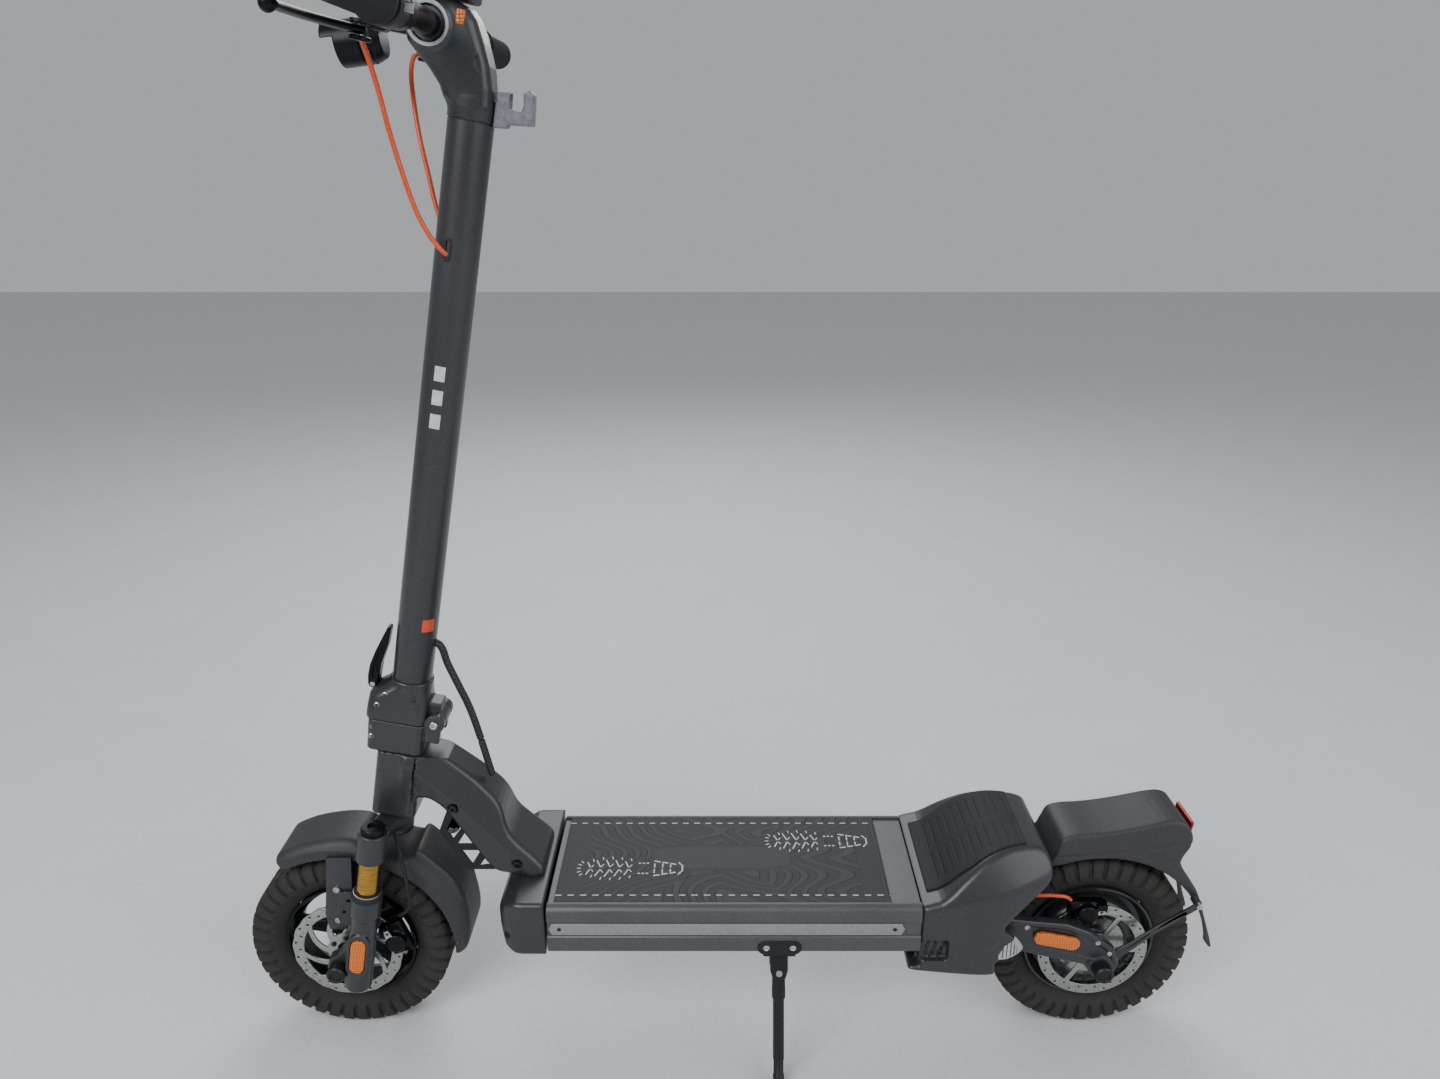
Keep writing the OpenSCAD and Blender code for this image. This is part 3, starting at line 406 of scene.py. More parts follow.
# Closed rings of points joined in order, with a point in the middle of each end.
def loftShape(rings):
    rings = np.asarray(rings, float)
    n, m = rings.shape[:2]
    points = np.concatenate([rings.reshape(-1, 3), [rings[0].mean(0), rings[-1].mean(0)]])
    k = np.arange(m)
    k2 = (k + 1) % m
    first = np.stack([np.full(m, n * m), k2, k], 1)
    last = np.stack([np.full(m, n * m + 1), (n - 1) * m + k, (n - 1) * m + k2], 1)
    return points, [gridFaces(n, m), first, last]


# A smooth line through the given points, with n steps between each pair.
def smoothLine(points, n=8):
    p = np.asarray(points, float)
    p = np.concatenate([[2 * p[0] - p[1]], p, [2 * p[-1] - p[-2]]])
    s = np.arange(n)[:, None] / n
    rows = [0.5 * (2 * b + (c - a) * s + (2 * a - 5 * b + 4 * c - d) * s ** 2 + (3 * b - a - 3 * c + d)
                   * s ** 3)
            for a, b, c, d in zip(p, p[1:], p[2:], p[3:])]
    return np.concatenate(rows + [p[-2:-1]])


# Rings of the given half sizes round a line of points; a ring is a circle, or squarer as the power grows.
def sweepRings(line, wide, high=None, sides=24, side=None, power=2.0):
    line = np.asarray(line, float)
    ahead = np.gradient(line, axis=0)
    ahead /= np.linalg.norm(ahead, axis=1)[:, None]
    across = np.tile(side if side is not None else np.cross(ahead[0], [0.31, 0.2, 0.93]), (len(line), 1))
    for i in range(len(line)):
        if i and side is None:
            across[i] = across[i - 1]
        across[i] -= ahead[i] * (across[i] @ ahead[i])
        across[i] /= np.linalg.norm(across[i])
    up = np.cross(ahead, across)
    turn = np.linspace(0, 2 * np.pi, sides, endpoint=False)
    c, s = np.cos(turn), np.sin(turn)
    c, s = np.sign(c) * np.abs(c) ** (2 / power), np.sign(s) * np.abs(s) ** (2 / power)
    wide = np.broadcast_to(wide, len(line))[:, None, None]
    high = wide if high is None else np.broadcast_to(high, len(line))[:, None, None]
    return line[:, None] + wide * c[None, :, None] * across[:, None] + high * s[None, :, None] * up[:, None]


# A round or squarish bar along a line of points in mm, its ends rounded off, placed by a function.
def addSweep(name, line, wide, body, paint, high=None, place=None, stands=(), sides=20, side=None, power=2.0,
             tip=0.5):
    line = np.asarray(line, float)
    wide = np.broadcast_to(wide, len(line)).astype(float)
    high = wide if high is None else np.broadcast_to(high, len(line)).astype(float)
    d0 = (line[0] - line[1]) / np.linalg.norm(line[0] - line[1])
    d1 = (line[-1] - line[-2]) / np.linalg.norm(line[-1] - line[-2])
    h = tip * min(wide[0], high[0])
    e = tip * min(wide[-1], high[-1])
    line = np.concatenate([[line[0]], [line[0] - d0 * h * 0.4], [line[0] - d0 * h], line[1:-1],
                           [line[-1] - d1 * e], [line[-1] - d1 * e * 0.4], [line[-1]]])
    shrink = lambda v, a, b: np.concatenate([[v[0] - a], [v[0] - a * 0.3], [v[0]], v[1:-1], [v[-1]],
                                             [v[-1] - b * 0.3], [v[-1] - b]])
    rings = sweepRings(line, shrink(wide, h, e), shrink(high, h, e), sides, side, power)
    points, faces = loftShape(rings)
    run = np.concatenate([[0], np.cumsum(np.linalg.norm(np.diff(line, axis=0), axis=1))]) * mm
    uv = np.stack([np.repeat(run, sides), np.tile(np.arange(sides) / sides, len(run))], 1)
    uv = np.concatenate([uv, [[0, 0], [run[-1], 0]]])
    points = place(points) if place else points * mm
    return addPiece(name, points, faces, body, paint, stands, uv=uv)


# A turned shape: profile points (along the axis, radius) in mm; radius 0 at both ends closes it.
def turned(profile, centre, axis, sides=64):
    profile = np.asarray(profile, float) * mm
    axis = np.asarray(axis, float) / np.linalg.norm(axis)
    u = np.cross(axis, [0.3, 0.2, 0.9])
    u /= np.linalg.norm(u)
    v = np.cross(axis, u)
    turn = np.linspace(0, 2 * np.pi, sides, endpoint=False)
    ring = np.cos(turn)[:, None] * u + np.sin(turn)[:, None] * v
    inner = profile[1:-1] if profile[0, 1] == 0 else profile
    points = np.asarray(centre) + inner[:, :1, None] * axis + inner[:, 1:, None] * ring[None]
    n = len(inner)
    if profile[0, 1] != 0:
        return points.reshape(-1, 3), [gridFaces(n, sides, rowsWrapped=True)]
    ends = np.asarray(centre) + np.outer(profile[[0, -1], 0], axis)
    k = np.arange(sides)
    k2 = (k + 1) % sides
    first = np.stack([np.full(sides, n * sides), k2, k], 1)
    last = np.stack([np.full(sides, n * sides + 1), (n - 1) * sides + k, (n - 1) * sides + k2], 1)
    return np.concatenate([points.reshape(-1, 3), ends]), [gridFaces(n, sides), first, last]


# Several shapes made one: their points and faces joined end to end.
def together(*shapes):
    points, faces, start = [], [], 0
    for p, f in shapes:
        points.append(p)
        faces += [np.asarray(q) + start for q in f]
        start += len(p)
    return np.concatenate(points), faces


# The shape's mirror image across the middle plane, with its faces turned back outward.
def mirrored(shape):
    points, faces = shape
    return np.asarray(points) * [1, -1, 1], [np.asarray(f)[:, ::-1] for f in faces]


# A flat plate with rounded edges: outline and holes in mm, drawn on the plane given by two directions.
def plate(outline, holes, thick, round_, origin, right, up):
    curve = bpy.data.curves.new("plate", "CURVE")
    curve.dimensions = "2D"
    curve.fill_mode = "BOTH"
    curve.extrude = max(thick / 2 - round_, 1e-4)
    curve.bevel_depth = round_
    curve.bevel_resolution = 2
    curve.offset = -round_
    for loop in [outline] + list(holes):
        line = curve.splines.new("POLY")
        line.points.add(len(loop) - 1)
        line.points.foreach_set("co", np.concatenate([np.c_[np.asarray(loop, float), np.zeros(len(loop)),
                                                           np.ones(len(loop))]]).ravel())
        line.use_cyclic_u = True
    obj = bpy.data.objects.new("plate", curve)
    bpy.context.scene.collection.objects.link(obj)
    made = bpy.data.meshes.new_from_object(obj.evaluated_get(bpy.context.evaluated_depsgraph_get()))
    work = bmesh.new()
    work.from_mesh(made)
    bmesh.ops.remove_doubles(work, verts=work.verts, dist=0.005)
    bmesh.ops.recalc_face_normals(work, faces=work.faces)
    bmesh.ops.triangulate(work, faces=work.faces)
    work.to_mesh(made)
    work.free()
    local = np.empty(len(made.vertices) * 3, np.float32)
    made.vertices.foreach_get("co", local)
    tri = np.empty(len(made.polygons) * 3, np.int32)
    made.polygons.foreach_get("vertices", tri)
    local, tri = local.reshape(-1, 3), tri.reshape(-1, 3)
    right, up = np.asarray(right, float), np.asarray(up, float)
    points = np.asarray(origin) + mm * (local[:, :1] * right + local[:, 1:2] * up + local[:,
            2:] * np.cross(right, up))
    bpy.data.objects.remove(obj)
    bpy.data.meshes.remove(made)
    return points, [tri]


# A round hole's outline in mm.
def circleLoop(r, cx=0.0, cy=0.0, n=24):
    a = np.linspace(0, 2 * np.pi, n, endpoint=False)
    return np.c_[cx + r * np.cos(a), cy + r * np.sin(a)]


# Solid shapes are given by distance in mm, negative inside.

# Two shapes joined, with a fillet of about k between them.
def softMin(a, b, k):
    h = np.clip(0.5 + 0.5 * (b - a) / k, 0, 1)
    return b + (a - b) * h - k * h * (1 - h)


# Both shapes at once, their shared edges rounded by r.
def both(a, b, r=1.5):
    return np.minimum(np.maximum(a, b), -r) + np.hypot(np.maximum(a + r, 0), np.maximum(b + r, 0))


# The first shape less the second.
def cut(a, b, r=1.0):
    return both(a, -b, r)


# A box by its centre and half sizes, with edges of radius r.
def roundBox(x, y, z, centre, half, r=2.0):
    q = [np.abs(v - c) - h + r for v, c, h in zip((x, y, z), centre, half)]
    out = np.sqrt(np.maximum(q[0], 0) ** 2 + np.maximum(q[1], 0) ** 2 + np.maximum(q[2], 0) ** 2)
    return out + np.minimum(np.maximum(q[0], np.maximum(q[1], q[2])), 0) - r


# The outline with its corners cut off twice over, so that its sides run smoothly into each other.
def soften(loop, times=2):
    p = np.asarray(loop, float)
    for _ in range(times):
        q = np.roll(p, -1, 0)
        p = np.stack([0.78 * p + 0.22 * q, 0.22 * p + 0.78 * q], 1).reshape(-1, 2)
    return p


# Distance to a closed outline in two coordinates.
def outlineDistance(loop, a, b):
    p = np.asarray(loop, float)
    best, odd = 1e9, np.zeros(np.broadcast(a, b).shape, bool)
    for (ax, ay), (bx, by) in zip(p, np.roll(p, -1, 0)):
        ex, ey = bx - ax, by - ay
        t = np.clip(((a - ax) * ex + (b - ay) * ey) / (ex * ex + ey * ey), 0, 1)
        best = np.minimum(best, (a - ax - t * ex) ** 2 + (b - ay - t * ey) ** 2)
        odd = odd ^ (((ay > b) != (by > b)) & (a < ex * (b - ay) / (ey if abs(ey) > 1e-9 else 1e-9) + ax))
    return np.where(odd, -1.0, 1.0) * np.sqrt(best)


# The closed surface where the shape's distance is nought: one point in each crossed cell of a grid,
# then moved onto the surface along the distance's slope.
def skin(shape, lo, hi, step, place=None):
    lo = np.array(lo, float) - 1.6 * step
    n = np.ceil((np.array(hi, float) + 1.6 * step - lo) / step).astype(int) + 1
    axes = [lo[i] + step * np.arange(n[i]) for i in range(3)]
    field = np.broadcast_to(shape(*np.meshgrid(*axes, indexing="ij", sparse=True)), tuple(n))
    total, count = np.zeros(tuple(n - 1) + (3,)), np.zeros(tuple(n - 1))
    edges = []
    for axis in range(3):
        low, high = [slice(None)] * 3, [slice(None)] * 3
        low[axis], high[axis] = slice(0, -1), slice(1, None)
        fa, fb = field[tuple(low)], field[tuple(high)]
        crossed = (fa < 0) != (fb < 0)
        t = np.where(crossed, fa / np.where(crossed, fa - fb, 1.0), 0.0)
        o = [i for i in range(3) if i != axis]
        for s in (0, 1):
            for r in (0, 1):
                pick = [slice(None)] * 3
                pick[o[0]] = slice(s, n[o[0]] - 1 + s)
                pick[o[1]] = slice(r, n[o[1]] - 1 + r)
                c = crossed[tuple(pick)]
                count += c
                total[..., axis] += np.where(c, t[tuple(pick)], 0)
                total[..., o[0]] += c * s
                total[..., o[1]] += c * r
        edges.append((crossed, fa < 0, o))
    active = count > 0
    index = np.full(active.shape, -1)
    index[active] = np.arange(active.sum())
    points = lo + step * (np.argwhere(active) + total[active] / count[active][:, None])
    quads = []
    for axis, (crossed, inside, o) in enumerate(edges):
        e = np.argwhere(crossed)
        quad = []
        for d in ((1, 1), (0, 1), (0, 0), (1, 0)):
            cell = e.copy()
            cell[:, o[0]] -= d[0]
            cell[:, o[1]] -= d[1]
            quad.append(index[tuple(cell.T)])
        quad = np.stack(quad, 1)
        turn = ~inside[tuple(e.T)]
        if axis == 1:
            turn = ~turn
        quad[turn] = quad[turn][:, ::-1]
        quads.append(quad)
    for _ in range(2):
        x, y, z = points.T
        e = step * 0.05
        f = shape(x, y, z)
        slope = np.stack([shape(x + e, y, z) - f, shape(x, y + e, z) - f, shape(x, y, z + e) - f], 1) / e
        points = points - np.clip(f, -step / 2, step / 2)[:, None] * slope / np.maximum((slope ** 2).sum(1),
                0.3)[:, None]
    return (place(points) if place else points * mm), [np.concatenate(quads)]


print("helpers ready")


tyreArt = {"width": 65.6, "lugs": 40, "depth": 3.6, "bead": 83.5, "grooveShare": 0.34}  # millimetres


# A knobbly tyre: the section's half width and radius by angle, with blocks raised round the crown.
def tyreShape(centre):
    a = tyreArt
    R = tyreRadius / mm
    s = np.linspace(-1, 1, 97)
    half, crown = a["width"] / 2, R - 0.1
    y = half * np.sign(s) * np.minimum(1, np.abs(np.sin(s * np.pi * 0.62)) ** 0.75)
    r = np.where(np.abs(s) < 0.806, crown - 21 * np.clip((np.abs(s) - 0.28) / 0.526, 0, 1) ** 2.2,
                 crown - 21 - (np.abs(s) - 0.806) / 0.194 * (crown - 21 - a["bead"]))
    y = np.where(np.abs(s) > 0.806, np.sign(s) * (half - 13.5 * ((np.abs(s) - 0.806) / 0.194) ** 1.4), y)
    turns = a["lugs"] * 16
    t = np.arange(turns) / 16.0
    phase = t[:, None]
    m = np.abs(s)[None, :]
    side = (m > 0.3) & (m < 0.86)
    saw = np.where(side, (phase + 0.5 * (np.sign(s)[None, :] > 0) + 0.25 * m) % 1.0,
                   (phase * 0.5 + 0.22 * np.abs(s)[None] * 3) % 0.5 * 2)
    edge = np.clip((np.abs(saw - 0.5) - (0.5 - a["grooveShare"] / 2)) / 0.06, 0, 1)
    channel = np.clip(1 - np.abs(m - 0.3) / 0.035, 0, 1) + np.clip(1 - np.abs(m - 0.045) / 0.025, 0,
            1) * (phase * 0 + 1)
    fade = np.clip((0.88 - m) / 0.05, 0, 1)
    lift = a["depth"] * (np.clip((1 - edge) - channel, 0, 1) - 1) * fade
    wall = -0.6 * np.clip(1 - np.abs(m - 0.93) / 0.02, 0, 1)
    normal = np.stack([np.gradient(r), -np.gradient(y)])
    normal /= -np.linalg.norm(normal, axis=0)
    yy = y[None] + (lift + wall) * normal[0][None]
    rr = r[None] + (lift + wall) * np.abs(normal[1][None])
    yy = np.clip(yy, -half, half)
    rr = np.minimum(rr, R - 0.05)
    inner = np.array([[15.6, a["bead"] - 1], [0, a["bead"] - 1], [-15.6, a["bead"] - 1]])
    yy = np.concatenate([yy, np.tile(inner[:, 0], (turns, 1))], 1)
    rr = np.concatenate([rr, np.tile(inner[:, 1], (turns, 1))], 1)
    ang = t * 2 * np.pi / a["lugs"]
    x = centre[0] + mm * rr * np.cos(ang)[:, None]
    z = centre[2] + mm * rr * np.sin(ang)[:, None]
    points = np.stack([x, mm * yy, z], -1)
    n, cols = points.shape[:2]
    faces = gridFaces(n, cols, wrapped=True, rowsWrapped=True)
    return points.reshape(-1, 3), [faces[:, ::-1]]


# One spoke: a squarish bar from the hub to the rim.
def spokeBar(centre, angle, r0, r1, wide, deep):
    line = np.linspace([r0, 0, 0], [r1, 0, 0], 6)
    w = np.linspace(wide * 1.15, wide, 6)
    rings = sweepRings(line, w, deep, 16, side=np.array([0, 0, 1.0]), power=3.4)
    c, s = math.cos(angle), math.sin(angle)
    pts = rings @ np.array([[c, 0, s], [0, 1, 0], [-s, 0, c]])
    points, faces = loftShape(pts * mm + centre)
    return points, faces


# The front rim's turned barrel.
def rimBarrel(centre):
    b = tyreArt["bead"]
    return turned([(-24.4, b - 3.5), (-24.4, b - 0.6), (-21.5, b - 0.4), (-17, b - 2.2), (-15, b - 3.6),
                   (15, b - 3.6),
                   (17, b - 2.2), (21.5, b - 0.4), (24.4, b - 0.6), (24.4, b - 3.5), (20, b - 5.4), (14, b - 7),
                   (9, b - 12), (-9, b - 12), (-14, b - 7), (-20, b - 5.4)], centre, (0, 1, 0), 128)


# Tyres, rims, hub motor and brake discs.
def makeWheels():
    for name, centre, body, node in (("front", frontAxle, "front_wheel", "front_tyre"),
                                     ("rear", rearAxle, "rear_wheel", "rear_tyre")):
        points, faces = tyreShape(centre)
        addPiece(name + "Tyre", points, faces, body, "tyre", [node], sharp=30)
    b = tyreArt["bead"]
    shapes = [rimBarrel(frontAxle)]
    shapes += [spokeBar(frontAxle, math.radians(10 + 72 * k), 20, b - 9, 9.5, 6.5) for k in range(5)]
    shapes.append(turned([(-30, 0), (-30, 17), (-27, 22), (-10, 23.4), (10, 23.4), (27, 22), (30, 17),
                          (36, 16), (36, 0)],
                         frontAxle, (0, 1, 0), 64))
    addPiece("frontRim", *together(*shapes), "front_wheel", "black_alloy", ["front_rim"])
    cap = [turned([(29.6, 0), (30.4, 21.5), (33, 20.5), (34, 17), (34.2, 0)], frontAxle, (0, 1, 0), 64)]
    addPiece("frontHubCap", *together(*cap), "front_wheel", "steel")
    ribs = [rimBarrel(rearAxle),
            turned([(-30, 0), (-30, 55), (-27.5, 62), (-22, 65.6), (-10, 66), (-9.6, b - 8), (9.6, b - 8),
                    (10, 66),
                    (22, 65.6), (27.5, 62), (30, 55), (30, 47), (27.4, 44), (27.4, 24), (30, 22), (30, 17),
                    (36, 16.5), (36, 0)],
                   rearAxle, (0, 1, 0), 128)]
    for k in range(24):
        a = math.radians(15 * k)
        for side in (1, -1):
            line = np.linspace([46, 0, 0], [61, 0, 0], 4)
            rings = sweepRings(line, 1.6, 1.8, 10, side=np.array([0, 0, 1.0]), power=4)
            c, s = math.cos(a), math.sin(a)
            rings = rings @ np.array([[c, 0, s], [0, 1, 0], [-s, 0, c]])
            rings[..., 1] += side * 28.6
            shape = loftShape(rings * mm + rearAxle)
            ribs.append(shape)
    addPiece("hubMotor", *together(*ribs), "rear_wheel", "gunmetal", ["hub_motor"])
    ring = turned([(27.6, 0), (28, 24.5), (28.6, 43.5), (27.2, 44.2), (26.6, 0)], rearAxle, (0, 1, 0), 96)
    addPiece("motorCover", *ring, "rear_wheel", "rotor")
    addSweep("frontValve", [[b - 10, -13, 0], [b - 24, -13, 0], [b - 30, -13, 0]], [3.2, 3.0, 2.6],
                     "front_wheel", "rubber", place=lambda p: frontAxle + np.asarray(p) * mm, sides=14)
    for name, centre, body in (("front", frontAxle, "front_wheel"), ("rear", rearAxle, "rear_wheel")):
        addPiece(name + "Rotor", *rotorShape(centre, name == "front"), body, "rotor", [name + "_rotor"],
                 sharp=25)
        screws = [turned([(39.6, 0), (39.6, 3.2), (41, 3.4), (41.6, 2.6), (41.6, 0)],
                         centre + mm * 19 * np.array([math.cos(a), 0, math.sin(a)]), (0, 1, 0), 14)
                  for a in np.radians(np.arange(6) * 60 + 30)]
        addPiece(name + "RotorScrews", *together(*screws), body, "black_metal")


# A brake disc: a drilled ring on curved arms in front, on straight thin arms behind.
def rotorShape(centre, swirl):
    R = 69.8
    n = 180
    ang = np.linspace(0, 2 * np.pi, n, endpoint=False)
    wave = 0.5 * np.sin(18 * ang) * (1 if swirl else 0)
    outer = np.c_[(R - 0.5 + wave) * np.cos(ang), (R - 0.5 + wave) * np.sin(ang)]
    holes = [circleLoop(12.8, n=40)]
    ringIn = 55.5
    for k in range(36):
        a = 2 * np.pi * k / 36
        r = 65.6 if k % 2 else 60.2
        holes.append(circleLoop(1.7 if swirl else 1.4, r * math.cos(a), r * math.sin(a), 12))
    arms, wide = (8, 9.0) if swirl else (6, 7.0)
    for k in range(arms):
        a0 = 2 * np.pi * k / arms
        a1 = a0 + 2 * np.pi / arms
        r = np.linspace(25.5, ringIn, 12)
        twist = (np.radians(38) * ((r - 25.5) / 30) ** 1.1) if swirl else 0 * r
        half = wide / 2 / r
        low = a0 + twist + half
        high = a1 + twist - half
        inner = np.linspace(low[0], high[0], 6)[1:-1]
        outerArc = np.linspace(high[-1], low[-1], 14)[1:-1]
        loop = np.concatenate([np.c_[r * np.cos(low), r * np.sin(low)][::-1],
                               np.c_[25.5 * np.cos(inner), 25.5 * np.sin(inner)],
                               np.c_[r * np.cos(high), r * np.sin(high)],
                               np.c_[ringIn * np.cos(outerArc), ringIn * np.sin(outerArc)]])
        holes.append(loop)
    return plate(outer, holes, 2.0, 0.25, centre + np.array([0, 39 * mm, 0]), (1, 0, 0), (0, 0, 1))


makeWheels()
print("wheels done")


# An axle with a round cap at each end.
def axleCaps(centre, out):
    shapes = []
    for s in (1, -1):
        shapes.append(turned([(s * (out - 12), 0), (s * (out - 12), 11.6), (s * (out + 1.5), 11.6),
                              (s * (out + 3.4), 10),
                              (s * (out + 3.9), 7.2), (s * (out + 2.2), 6.2), (s * (out + 2.2), 0)][::s],
                              centre, (0, 1, 0), 48))
    shapes.append(turned([(-out, 0), (-out, 5.8), (out, 5.8), (out, 0)], centre, (0, 1, 0), 32))
    return together(*shapes)


# A fork lower: sleeve, leg, axle foot, reflector bezel and a tab.
def forkLower(x, y, z):
    y = np.abs(y) - 64
    d = np.hypot(x - 13, y)
    body = both(d - 18.6, np.abs(z - 90) - 14, 1.6)
    lower = both(d - 16.4, np.abs(z - 20) - 55, 2)
    shape = softMin(body, lower, 5)
    foot = outlineDistance([[30, -22], [44, -22], [51, -10], [50, 4], [40, 12], [27, 36], [8, 40], [0, 20],
                            [0, -24], [8, -34], [22, -34]], x, z)
    foot = both(foot, np.abs(y) - 8.4, 2.6)
    shape = softMin(shape, foot, 6)
    oval = np.hypot(x - 13, np.maximum(np.abs(z - 24) - 19, 0)) - 13.6
    bezel = both(both(oval, -(y - 14), 1), y - 18.8, 1.2)
    shape = softMin(shape, bezel, 2)
    shape = cut(shape, both(np.hypot(x - 13, np.maximum(np.abs(z - 24) - 16.2, 0)) - 9.6, -(y - 16.6), 0.3),
                0.6)
    shape = cut(shape, both(np.hypot(x - 36.3, z + 7.06) - 12.3, -(y - 8.4), 0.3), 0.6)
    tab = outlineDistance([[19, 38], [45, 40], [51, 52], [51, 88], [37, 92], [19, 74]], x, z)
    tab = both(tab, np.abs(y + 16) - 2, 0.8)
    shape = softMin(shape, tab, 3)
    for u, w in ((38, 78), (42, 60)):
        shape = cut(shape, np.hypot(x - u, z - w) - 2.2, 0.4)
    return shape


# Lowers, wipers, stanchions, caps, reflectors and the front axle.
def makeFork():
    for s, name in ((1, "Left"), (-1, "Right")):
        shape = skin(lambda x, y, z: forkLower(x, y, z), (-10, 44, -38), (54, 84, 105), 1.5, onSteer)
        if s < 0:
            shape = mirrored(shape)
        addPiece("forkLower" + name, *shape, "fork_slider", "gunmetal", ["fork_lowers"] if s > 0 else (),
                 sharp=50)
        base = onSteer([13, 64 * s, 0])
        up = steerUp
        addPiece("forkWiper" + name,
                 *turned([(103, 0), (103, 18.6), (106, 18.8), (108.5, 17.6), (109.5, 16.4), (111.4, 16.2),
                 (112, 14.4), (112, 0)], base, up, 48), "fork_slider", "rubber",
                 ["fork_wipers"] if s > 0 else ())
        addPiece("wiperLip" + name,
                 *turned([(109.6, 16.6), (110.4, 17.0), (111.3, 16.8), (111.5, 15.8), (110.2, 15.4)], base, up,
                         48),
                 "fork_slider", "steel")
        addPiece("stanchion" + name, *turned([(30, 0), (30, 13.3), (160, 13.3), (160, 0)], base, up, 48),
                 "fork", "gold",
                 ["stanchions"] if s > 0 else ())
        cap = [(194, 0), (194, 13.6), (198, 14.8), (203.6, 14.8), (204.8, 13.4), (204.9, 7.4), (202.6, 6.6),
               (201.6, 6.2), (201.4, 0)]
        points, faces = turned(cap, base, up, 72)
        addPiece("forkCap" + name, *ribbedCap(points, faces, base, up, 14.2, 24), "fork", "black_alloy")
        addPiece("axleCap" + name, *turned([(-22.5, 0), (-22.5, 3.4), (-20, 3.6), (-19.5, 0)],
                                           onSteer([13, 64 * s, 96]), (0, 1, 0), 20), "fork_slider",
                                           "black_metal")
        addPiece("frontReflector" + name, *reflectorShape(roundedBar(50, 18), onSteer([13, s * 81.2, 24]),
                steerAhead, steerUp, s), "fork_slider", "amber",
                 ["front_reflectors"] if s > 0 else (), sharp=60)
    addPiece("frontAxle", *axleCaps(frontAxle, 84), "fork_slider", "black_metal", ["front_axle"])


# Ridges round a cap: every point beyond the given radius moves in by a small wave round the axis.
def ribbedCap(points, faces, centre, axis, beyond, count):
    d = points - centre
    along = d @ axis
    flat = d - along[:, None] * axis
    r = np.linalg.norm(flat, axis=1)
    u = np.cross(axis, [0.3, 0.2, 0.9])
    u /= np.linalg.norm(u)
    turn = np.arctan2(flat @ np.cross(axis, u), flat @ u)
    dent = np.where(r > beyond * mm, 0.8 * mm * (0.5 + 0.5 * np.cos(turn * count)), 0)
    flat = flat * ((r - dent) / np.maximum(r, 1e-9))[:, None]
    return centre + along[:, None] * axis + flat, faces


# The outline of a bar with half-round ends, in mm.
def roundedBar(length, width, n=10):
    r = width / 2
    a = np.linspace(0, np.pi, n)
    top = np.c_[r * np.cos(a), length / 2 - r + r * np.sin(a)]
    return np.concatenate([top, -top])


# A reflector stands on the given point with its long side along up and faces out to side s.
def reflectorShape(loop, place, right, up, s):
    points, faces = plate(loop, [], 4.4, 1.0, (0, 0, 0), (1, 0, 0), (0, 1, 0))
    out = np.cross(right, up)
    if out[1] * s < 0:
        points, faces = points * [-1, 1, 1], [f[:, ::-1] for f in faces]
        right = -right
        points = points * [1, 1, 1]
        out = np.cross(right, up)
    return place + points[:, :1] * right + points[:, 1:2] * up + points[:, 2:] * out, faces


# The fork crown with its two clamp sleeves.
def crownShape(x, y, z):
    a = np.abs(y)
    tube = both(np.hypot(x, y) - 20.6, np.abs(z - 178.8) - 16.8, 2)
    t = np.clip(a / 56, 0, 1)
    bridge = both(np.abs(x - 13 * t) - (15 - 4 * t), np.abs(z - 184) - 10, 4)
    bridge = both(bridge, a - 60, 2)
    sleeve = both(np.hypot(x - 13, a - 64) - 17.8, np.abs(z - 178) - 20, 2.4)
    shape = softMin(softMin(tube, bridge, 7), sleeve, 5)
    shape = cut(shape, both(np.abs(x - 33), np.abs(a - 64) - 1.2, 0.3) - 6, 0.5)
    return cut(shape, np.maximum(np.hypot(x - 13, a - 64) - 13.4, z - 196), 0.3)


# The fork crown and the steerer tube.
def makeCrown():
    addPiece("forkCrown", *skin(crownShape, (-22, -83, 157), (32, 83, 199), 1.6, onSteer), "fork", "gunmetal",
             ["steerer_crown"], sharp=50)
    addPiece("steererTube", *turned([(190, 0), (190, 14.8), (299, 14.8), (299, 0)], steerPos, steerUp, 48),
             "fork", "steel")


# The front fender: a hood over the tyre with a beak in front, a saddle under the crown and a tail behind.
fenderOutline = [[70, 120], [76, 134], [71, 142], [40, 155.5], [-2, 163], [-30, 160.5], [-40, 143], [-66, 137],
                 [-92, 134.5],
                 [-99, 145], [-108, 139], [-150, 92], [-157.6, 40], [-155.6, 8], [-146, -7.5], [-128, -9.6],
                 [-121, 0],
                 [-113, 20], [-104, 36], [-96, 46], [4, 46], [12, 60], [12, 108], [30, 112]]


# The fender's shape round the tyre, in mm from the axle.
def frontFender(x, y, z):
    a = np.abs(y)
    side = outlineDistance(soften(fenderOutline), x, z)
    r = np.hypot(x, z)
    crown = 40.6
    belly = 8 * np.clip((r - 150) / 14, 0, 1)
    shape = both(side, a - crown + belly, 7)
    hollow = np.maximum(r - 148.5, a - 37.4)
    tunnel = np.maximum(r - 137.6, a - 60)
    shape = cut(cut(shape, hollow, 1.0), tunnel, 0.6)
    back = outlineDistance([[-78, 122], [-100, 128], [-138, 84], [-147, 40], [-145, 12], [-132, 8], [-120, 40],
                            [-100, 80]], x, z)
    shape = cut(shape, np.maximum(back, -(a - 38.6)), 0.8)
    return shape


# From mm round the front axle to the frame.
def fenderPlace(p):
    return frontAxle + np.asarray(p) * mm


